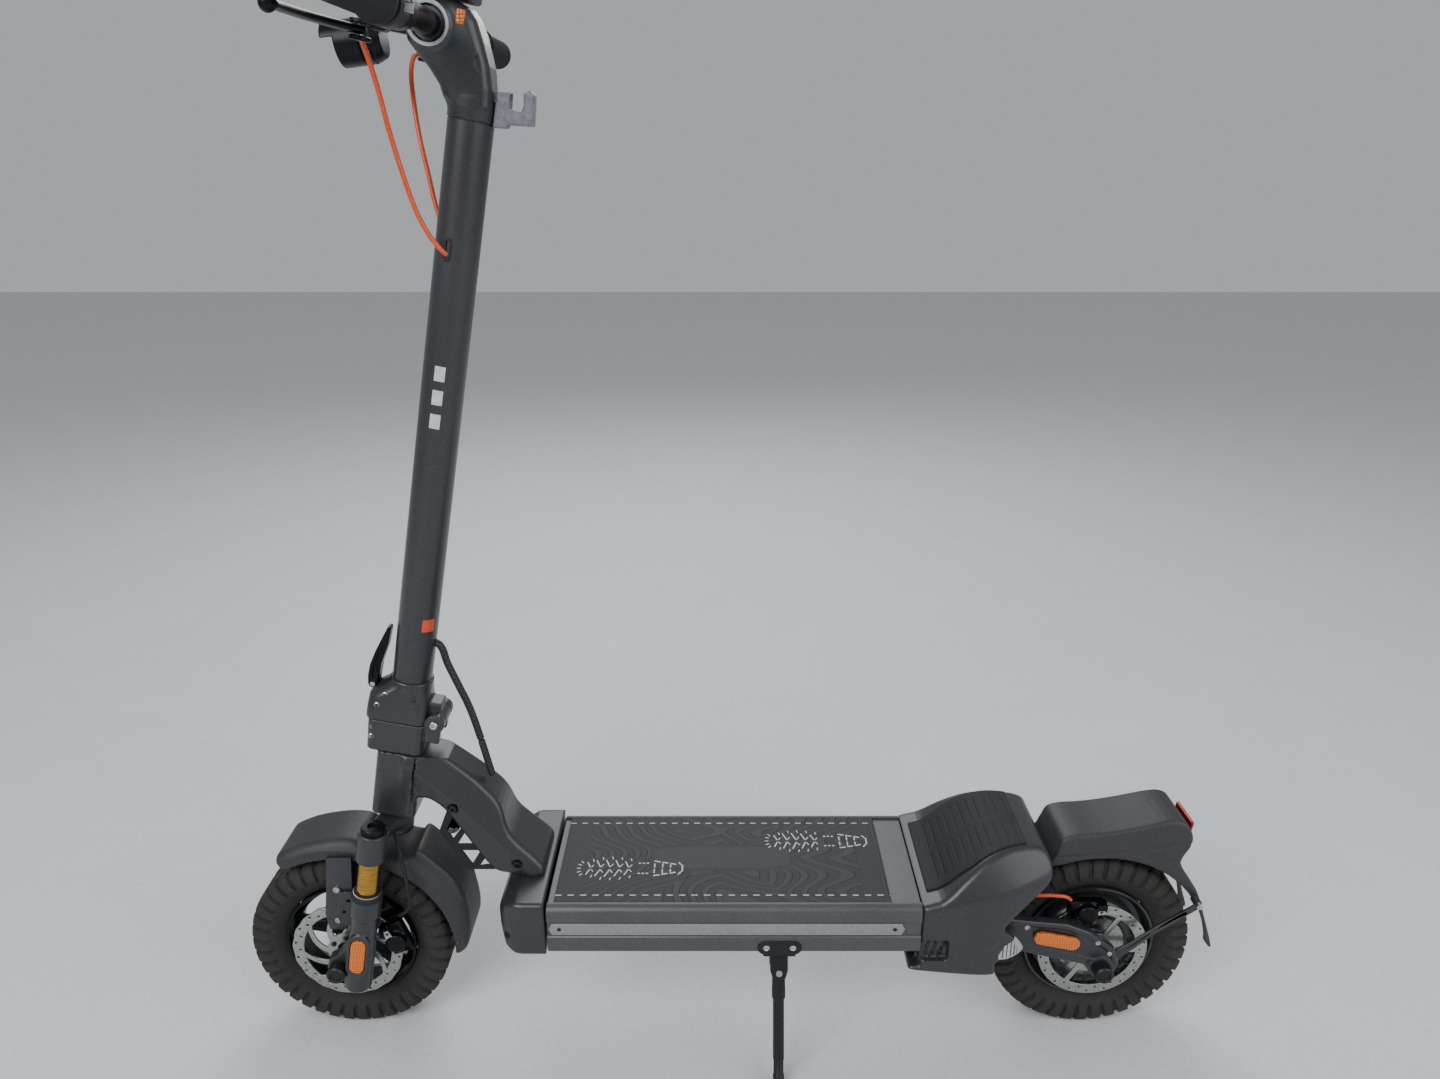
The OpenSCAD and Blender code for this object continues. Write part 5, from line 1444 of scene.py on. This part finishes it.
# A fender behind the foot rest: a box-topped hood with a thin flap behind the tyre.
rearFenderOutline = [[76, 104], [74, 124], [60, 147], [56, 165], [42, 171], [9, 172.4], [-30, 179.4],
                     [-80, 192.4], [-98, 186], [-106.4, 164],
                     [-92.4, 136.6], [-96, 126], [-110, 106], [-122, 88], [-138, 44], [-152, 4.6],
                     [-148.6, 2.4], [-132, 26], [-116, 66], [-60, 100], [0, 110]]


# The rear fender's shape, in mm from the axle.
def rearFender(x, y, z):
    a = np.abs(y)
    side = outlineDistance(soften(rearFenderOutline), x, z)
    r = np.hypot(x, z)
    wide = 41.8 - 6 * np.clip((z - 150 + 0.1 * x) / 34, 0, 1) - 4 * np.clip((x - 20) / 50, 0,
            1) * np.clip((150 - z) / 30, 0, 1)
    wide = wide - 1.6 * np.clip(1 - np.abs(z - 148 + 0.12 * x) / 3, 0, 1)
    shape = both(side, a - wide, 4)
    shape = cut(shape, np.maximum(r - 150.5, a - 37.6), 0.8)
    shape = cut(shape, np.maximum(r - 140.2, a - 60), 0.5)
    return shape


# From mm round the rear axle to the frame.
def rearAt(p):
    return rearAxle + np.asarray(p) * mm


# Swing arm, fender, stays, reflectors, tail light and films.
def makeRear():
    arm = skin(lambda x, y, z: np.maximum(swingArm(x, y, z), -y), (-486, 56, 110), (-297, 73, 205), 1.5)
    other = mirrored(arm)
    addPiece("swingArmLeft", *arm, "arm", "gunmetal", ["swing_arm"], sharp=50)
    addPiece("swingArmRight", *other, "arm", "gunmetal", sharp=50)
    bar = skin(lambda x, y, z: cut(roundBox(x, y, z, (-305.2, 0, 188), (16.6, 58.6, 13.6), 4),
                                   np.hypot(x + 309.25, z - 190) - 6.3, 0.3),
               (-323, -60, 173), (-287, 60, 203), 2.0)
    addPiece("swingArmBar", *bar, "arm", "gunmetal", sharp=50)
    addPiece("rearFender", *skin(rearFender, (-154, -43, 1), (78, 43, 194), 2.0, rearAt), "arm", "fender",
             ["rear_fender"], sharp=50)
    for s, side in ((1, "Left"), (-1, "Right")):
        stay = plate([[-8, 4.5], [-17, -4.6], [-26, 0], [-70, 42], [-119, 80], [-115, 86.6], [-66, 50],
                      [-40, 27], [-14, 10]],
                     [[[-34, 14], [-60, 38], [-62, 42], [-38, 20]],
                      [[-70, 46], [-102, 71], [-100, 74], [-72, 51]]], 3.8, 1.0,
                     rearAxle + np.array([0, s * (60 - 4) * mm, 0]), (1, 0, 0), (0, 0, 1))
        addPiece("fenderStay" + side, *stay, "arm", "gunmetal", sharp=40)
        block = skin(lambda x, y, z: roundBox(x, y, z, (-116, 48.8, 83), (4, 8.6, 4), 1.5), (-121, 39, 78),
                     (-111, 58, 88), 1.2, rearAt)
        addPiece("stayBlock" + side, *(block if s > 0 else mirrored(block)), "arm", "fender")
        nut = turned([(s * 57, 0), (s * 57, 4), (s * 60.6, 4), (s * 61.4, 2.6), (s * 60.4, 2),
                      (s * 60.4, 0)][::s], rearAxle + mm * np.array([-116, 0, 83]), (0, 1, 0), 20)
        nut2 = turned([(s * 57, 0), (s * 57, 4), (s * 60.2, 4), (s * 61.0, 2.6), (s * 60.0, 2),
                       (s * 60.0, 0)][::s], rearAxle + mm * np.array([-21, 0, 1.5]), (0, 1, 0), 20)
        addPiece("stayBolts" + side, *together(nut, nut2), "arm", "steel")
        lens = reflectorShape(roundedBar(58, 18), rearAxle + mm * np.array([60, s * 74.2, 44]),
                              (np.array([-math.sin(math.radians(12)), 0, math.cos(math.radians(12))])),
                              np.array([math.cos(math.radians(12)), 0, math.sin(math.radians(12))]), s)
        addPiece("rearReflector" + side, *lens, "arm", "amber", ["rear_reflectors"] if s > 0 else (), sharp=60)
        screws = [turned([(s * 70.6, 0), (s * 70.6, 3.4), (s * 72.2, 3.2), (s * 72.6, 2.0), (s * 71.8, 1.6),
                          (s * 71.8, 0)][::s], rearAxle + mm * np.array([u, 0, w]), (0, 1, 0), 20)
                  for u, w in ((98, 62), (8, 38), (-8, 22))]
        addPiece("armScrews" + side, *together(*screws), "arm", "steel")
    addPiece("rearAxle", *axleCaps(rearAxle, 84), "arm", "black_metal", ["rear_axle"])
    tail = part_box("tail_light")
    lo, hi = np.array(tail[0]) / mm, np.array(tail[1]) / mm
    c = (lo + hi) / 2
    light = skin(lambda x, y, z: roundBox(x + (z - c[2]) * 0.14, y, z, (c[0], 0, c[2]), (2.0, 23.8, 7.8), 1.8),
                 lo, hi, 1.0)
    addPiece("tailLight", *light, "arm", "red", ["tail_light"])
    pin = turned([(-97.4, 0), (-97.4, 4), (-96.8, 5.9), (96.8, 5.9), (97.4, 4), (97.4, 0)],
                 (-0.30925, 0, 0.19), (0, 1, 0), 40)
    addPiece("swingArmPin", *pin, "frame", "steel", ["swingarm_pin"])
    patch = [[-322, 164], [-330, 182], [-352, 197], [-364, 190], [-366, 180], [-352, 172], [-340, 160]]
    film = skin(lambda x, y, z: both(np.abs(rearShape(x, y, z) - 0.05) - 0.28,
                                     np.maximum(outlineDistance(patch, x, z), 80 - y), 0.1),
                (-367, 84, 159), (-321, 100, 198), 0.7)
    for shape, side in ((film, "Left"), (mirrored(film), "Right")):
        addPiece("reflectiveFilm" + side, *shape, "frame", "sticker", sharp=60)


# From mm along the kickstand's leg to the frame.
def standPlace(p):
    a = math.radians(20)
    p = np.asarray(p, float)
    c, s = math.cos(a), math.sin(a)
    return standPivot + mm * np.stack([p[..., 0], p[..., 1] * c - p[..., 2] * s,
                                       p[..., 1] * s + p[..., 2] * c], -1)


# The kickstand's upper end with its pivot eye.
def standShape(x, y, z):
    barrel = both(np.hypot(x, z) - 8.8, np.abs(y) - 7.8, 1.0)
    block = roundBox(x, y, z, (0, 0, -18), (7.8, 7.8, 17.8), 2.5)
    leg = both(np.hypot(x, y) - 6.9, np.abs(z + 84) - 62, 1)
    return softMin(softMin(barrel, block, 3), leg, 4)


# The kickstand leg, its mounting plate and bolts.
def makeStand():
    reach = (standPivot[2] / mm - 7 * math.sin(math.radians(20))) / math.cos(math.radians(20))
    upper = skin(standShape, (-9, -9, -110), (9, 9, 9), 1.3, standPlace)
    foot = turned([(-reach + 0.2, 0), (-reach + 0.2, 6), (-reach + 1.4, 6.9), (-reach + 16, 6.9),
                   (-reach + 17, 6.2), (-104, 6.2), (-104, 0)],
                  standPivot, standPlace([0, 0, 1]) - standPivot, 40)
    addPiece("kickstandLeg", *upper, "kickstand", "black_metal", ["kickstand_leg"], sharp=50)
    addPiece("kickstandTube", *foot, "kickstand", "black_metal")
    pinAxis = standPlace([0, 1, 0]) - standPivot
    addPiece("standPin", *turned([(-17.8, 0), (-17.8, 3.9), (17.8, 3.9), (17.8, 0)], standPivot, pinAxis, 24),
             "kickstand", "steel")
    x0 = standPivot[0]
    oval = plate(roundedBar(54, 20, 12)[::-1, ::-1], [], 3.0, 0.8, (x0, 97.1 * mm, 0.1815), (1, 0, 0),
                 (0, 0, 1))
    bolts = [turned([(97.0, 0), (97.0, 4), (98.9, 4), (99.7, 2.8), (98.9, 2.2), (98.9, 0)],
                    (x0 + s * 0.016, 0, 0.1815), (0, 1, 0), 20) for s in (1, -1)]
    addPiece("standPlateBolts", *together(*bolts), "frame", "steel")
    addPiece("standPlate", *oval, "frame", "black_metal", sharp=40)
    base = skin(lambda x, y, z: roundBox(x, y, z, (x0 / mm, 80.5, 170), (19.8, 16.8, 3), 1.6),
                (x0 / mm - 20, 63, 166.8), (x0 / mm + 20, 98, 173.2), 1.6)
    ears = []
    for v in (11.6, -11.6):
        ear = plate(np.array([[-10.8, 31], [10.8, 31], [10.8, 2], [8, -7], [0, -10.8], [-8, -7], [-10.8, 2]]),
                    [], 5.8, 1.2, (0, 0, 0), (1, 0, 0), (0, 1, 0))
        pts = np.c_[ear[0][:, 0], ear[0][:, 2] + v * mm, ear[0][:, 1]] / mm
        ears.append((standPlace(pts), [f[:, ::-1] for f in ear[1]]))
    addPiece("standBracket", *together(base, *ears), "frame", "black_metal", ["kickstand_mount"], sharp=45)


# The folding latch's lever.
def leverBlade(x, y, z):
    side = outlineDistance([[38.2, 362], [40, 358], [44, 356.3], [48, 358], [49.8, 362], [50.6, 372],
                            [49.6, 386], [45, 404], [39, 422], [33.4, 437.6], [31, 438],
                            [29.4, 436], [31, 414], [36.6, 389]], x, z)
    shape = both(side, np.abs(y) - taper(z, 370, 436, 8.8, 7), 2)
    dish = both(side + 4.5, -(np.abs(y) - 6.6), 0.4)
    return cut(shape, np.maximum(dish, 372 - z), 0.8)


# The bag hook behind the stem.
def hookShape(x, y, z):
    side = outlineDistance([[-23.3, -3.4], [-23.3, 30], [-36.4, 32], [-37.2, 17], [-49, 16], [-51, 22],
                            [-49.4, 33], [-55, 37.6], [-59.6, 33.6],
                            [-61.8, 5], [-37.4, 2], [-36.4, -1.6]], x, z)
    return cut(both(side, np.abs(y) - 10.8, 2.4), both(roundBox(x, y, z, (-30, 0, 27), (20, 5.5, 3.2), 2),
                                                       0 * x - 1, 0.2), 0.8)


# From mm round the lamp to the frame.
def lampPlace(p):
    a = math.radians(108)
    p = np.asarray(p, float)
    c, s = math.cos(a), math.sin(a)
    return onSteer(np.stack([112 + p[..., 0] * c + p[..., 2] * s, p[..., 1],
                             stemTop + 50 - p[..., 0] * s + p[..., 2] * c], -1))


# The headlight's shell.
def lampShape(x, y, z):
    r = np.hypot(x, y)
    body = both(r - taper(z, -22, -10, 18, 21.8), np.abs(z) - 21.8, 2)
    hood = both(np.maximum(r - 21.8, -(r - 19.2)), np.abs(z - 26) - 7.6, 0.6)
    hood = both(hood, x + 5, 1)
    shape = np.minimum(body, hood)
    fins = np.maximum(np.abs((z + 20) % 5 - 2.5) - 0.9, np.maximum(-(r - 20.2), z + 2))
    shape = cut(shape, fins, 0.3)
    return cut(shape, np.maximum(r - 19.2, 13 - z), 0.4)


# The left brake lever's perch and clamp.
def perchShape(x, y, z):
    ring = both(np.hypot(x - 44, z - 1081) - 16.8, np.abs(y - 128) - 9.8, 1.5)
    arm = roundBox(x, y, z, (60, 124, 1068), (9, 9, 7.4), 3)
    head = both(np.hypot(x - 78, y - 112) - 9.8, np.abs(z - 1059) - 8.8, 1.6)
    shape = softMin(softMin(ring, arm, 6), head, 8)
    barrel = both(np.hypot(x - 80, z - 1059) - 5.4, np.abs(y - 103) - 6, 0.8)
    shape = softMin(shape, barrel, 2)
    slot_ = np.maximum(np.maximum(np.abs(z - 1059) - 4.5, 64.4 - x), 94.6 - y)
    shape = cut(shape, slot_, 0.4)
    return cut(shape, np.hypot(x - 44, z - 1081) - 12.1, 0.3)


# The brake lever's middle line, in mm on the left side.
def bladeLine():
    return smoothLine([[76, 112, 1059], [86, 126, 1059], [94, 142, 1059], [100, 162, 1059], [104, 184, 1059],
                       [105, 214, 1059], [104.6, 240, 1059]], 6)


# Latch, lamp, hook, levers, controls, display and throttle.
def makeFittings():
    addPiece("latchLever", *skin(leverBlade, (28, -9, 355.6), (51, 9, 438.4), 1.0, onSteer), "latch",
             "black_alloy", ["fold_lever"], sharp=50)
    pin = turned([(-9, 0), (-9, 3), (9, 3), (9, 0)], onSteer([44, 0, 362]), (0, 1, 0), 24)
    addPiece("latchPin", *pin, "latch", "steel")
    up = lambda p: onSteer(np.asarray(p) + [0, 0, stemTop])
    addPiece("bagHook", *skin(hookShape, (-62, -11, -4), (-23, 11, 38), 1.1, up), "stem", "hook_grey",
             ["bag_hook"], sharp=50)
    addPiece("headlight", *skin(lampShape, (-22, -22, -22), (22, 22, 34), 1.1, lampPlace), "stem",
             "black_alloy", ["headlight_shell"], sharp=50)
    bracket = skin(lambda x, y, z: roundBox(x, y, z, (82, 0, stemTop + 68.5), (18, 8.8, 4.3), 2),
                   (63, -10, stemTop + 63), (101, 10, stemTop + 74), 1.2, onSteer)
    addPiece("headlightBracket", *bracket, "stem", "black_alloy")
    axis = lampPlace([0, 0, 1]) - lampPlace([0, 0, 0])
    addPiece("headlightLens", *turned([(12.2, 0), (12.2, 18.9), (14.6, 18.9), (15.9, 15), (16, 0)],
                                      lampPlace([0, 0, 0]), axis, 56), "stem", "lens", ["headlight_lens"])
    addPiece("headlightRing", *turned([(15, 18.9), (17.6, 18.9), (17.6, 17.6), (15.6, 17.2)],
                                      lampPlace([0, 0, 0]), axis, 56), "stem", "steel")
    for s, side in ((1, "Left"), (-1, "Right")):
        perch = skin(perchShape, (27, 96, 1049), (90, 138, 1099), 1.3, onSteer)
        addPiece("leverPerch" + side, *(perch if s > 0 else mirrored(perch)), "stem", "black_alloy",
                 ["lever_perches"] if s > 0 else (), sharp=50)
        line = bladeLine()
        n = len(line)
        wide = np.interp(np.arange(n), [0, 6, 14, n - 5, n - 1], [6.4, 6.6, 5.4, 4.6, 5.2])
        name = "left_lever" if s > 0 else "right_lever"
        addSweep("brakeLever" + side, line * [1, s, 1], wide, name, "black_alloy", high=np.full(n, 3.7),
                 place=onSteer, sides=24,
                         power=2.6, stands=["brake_lever_left"] if s > 0 else ["brake_lever_right"])
        ball = turned([(-7.4, 0), (-7, 2.4), (-5.2, 5.2), (0, 7.3), (5.2, 5.2), (7, 2.4), (7.4, 0)],
                      onSteer([105, s * 244, 1059]), (0, 1, 0), 32)
        addPiece("leverBall" + side, *ball, name, "black_alloy")
        pivot = turned([(-9, 0), (-9, 2.9), (9, 2.9), (9, 0)], onSteer([78, s * 112, 1059]), steerUp, 24)
        addPiece("leverPivot" + side, *pivot, name, "steel")
        housing = skin(lambda x, y, z: controlShape(x, y, z, s), (23, 146, 1053), (64, 174, 1101), 1.3, onSteer)
        addPiece("controlHousing" + side, *(housing if s > 0 else mirrored(housing)), "stem", "black_plastic",
                 ["control_housings"] if s > 0 else (), sharp=50)
        marker = skin(lambda x, y, z: roundBox(x, y, z, (14.5, 24.6, 1092), (4.2, 2.2, 6.8), 1.4),
                      (10, 22, 1084), (19, 27.2, 1099.4), 0.9, onSteer)
        addPiece("sideMarker" + side, *(marker if s > 0 else mirrored(marker)), "stem", "amber",
                 ["side_markers"] if s > 0 else ())
    case = skin(lambda x, y, z: cut(roundBox(x, y, z, (40, 0, 1114.3), (32.8, 28.8, 6.8), 4),
                                    roundBox(x, y, z, (42, 0, 1121.6), (26, 24, 1.0), 0.8), 0.4),
                (7, -29, 1107), (73, 29, 1121.4), 1.3, onSteer)
    addPiece("displayCase", *case, "stem", "black_plastic", ["display"], sharp=50)
    glass = skin(lambda x, y, z: roundBox(x, y, z, (42, 0, 1120.6), (25.6, 23.6, 0.5), 0.45), (16, -24, 1120),
                 (68, 24, 1121.2), 0.9, onSteer)
    addPiece("displayGlass", *glass, "stem", "screen", sharp=50)
    thumb = skin(lambda x, y, z: softMin(both(np.hypot(x - 42, z - 1057) - 2.9, np.abs(y + 160) - 5.5, 0.5),
                                         roundBox(x, y, z, (27, -160, 1052.6), (14.6, 5.5, 3.4), 1.8), 3),
                 (11, -166, 1048.6), (46, -154, 1060.4), 0.9, onSteer)
    addPiece("throttleLever", *thumb, "throttle", "grey_plastic", ["throttle_lever"])


# A control housing beside a grip.
def controlShape(x, y, z, s):
    shape = both(np.hypot(x - 44, z - 1081) - 18.8, np.abs(y - 160) - 12.8, 2.2)
    if s < 0:
        shape = softMin(shape, roundBox(x, y, z, (42, 160, 1061), (9.8, 12.6, 5.8), 2), 3)
        shape = cut(shape, roundBox(x, y, z, (42, 160, 1058), (11.2, 6.2, 4.2), 0.4), 0.3)
    else:
        shape = cut(shape, roundBox(x, y, z, (24, 160, 1081), (4.2, 8, 4), 0.4), 0.3)
        shape = cut(shape, both(np.hypot(x - 30, z - 1094) - 3, -(y - 171), 0.2), 0.3)
    return cut(shape, np.hypot(x - 44, z - 1081) - 12.1, 0.3)


# The cables that run to the two calipers.
def makeCaliperCables():
    front = np.array([[395, 42, 309], [392, 46, 294], [387, 53, 268], [383, 57, 240], [383, 56, 216],
                      [389, 52, 199], [401, 47, 187]], float)
    line = smoothLine(front + [middle / mm, 0, 0], 8)
    cable = addSweep("frontCable", line, 2.4, None, "rubber", sides=14, stands=["front_cable"])
    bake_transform(cable)
    rear = np.array([[-351, 50, 218], [-366, 50, 219], [-390, 50, 220], [-412, 50, 220], [-428, 50, 218],
                     [-436, 49, 212]], float)
    line = smoothLine(rear + [middle / mm, 0, 0], 8)
    cable = addSweep("rearCable", line, 2.4, None, "cable_orange", sides=14, stands=["rear_cable"])
    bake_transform(cable)


makeRear()
makeStand()
makeFittings()
makeCaliperCables()
print("rear and fittings done")


nodePaint = {
    "deck_frame": "gunmetal", "deck_mat": "mat", "nose_casting": "gunmetal", "neck_casting": "gunmetal",
    "headset_bearings": "steel", "neck_bracket": "black_metal", "frame_bolts": "black_metal", "horn": "screen",
    "battery_pack": "battery_wrap", "controller": "gunmetal", "charge_port": "black_plastic",
    "charge_cap": "rubber",
    "rear_casting": "gunmetal", "kick_pad": "rubber", "kickstand_mount": "black_metal", "swingarm_pin": "steel",
    "steerer_crown": "gunmetal", "stanchions": "gold", "fold_base": "gunmetal", "fold_pin": "steel",
    "fold_head": "gunmetal", "fold_lever": "black_metal", "stem_tube": "gunmetal", "stem_head": "gunmetal",
    "handlebar": "black_alloy", "grips": "rubber", "side_markers": "amber", "display": "screen",
    "headlight_shell": "black_alloy", "headlight_lens": "lens", "bag_hook": "hook_grey",
    "lever_perches": "black_alloy",
    "brake_lever_left": "black_alloy", "brake_lever_right": "black_alloy", "control_housings": "black_plastic",
    "throttle_lever": "black_plastic", "signal_switch": "grey_plastic", "brake_cables": "cable_orange",
    "stem_loom": "black_plastic", "front_cable": "rubber", "swing_arm": "gunmetal", "rear_fender": "fender",
    "tail_light": "red", "rear_reflectors": "amber", "rear_axle": "black_metal", "rear_cable": "cable_orange",
    "kickstand_leg": "black_metal",
}


for nodeName, paintName in nodePaint.items():
    obj = nodes.get(nodeName)
    if obj is not None:
        obj.data.materials.clear()
        obj.data.materials.append(paints[paintName])

makeStudio()
makeCamera()
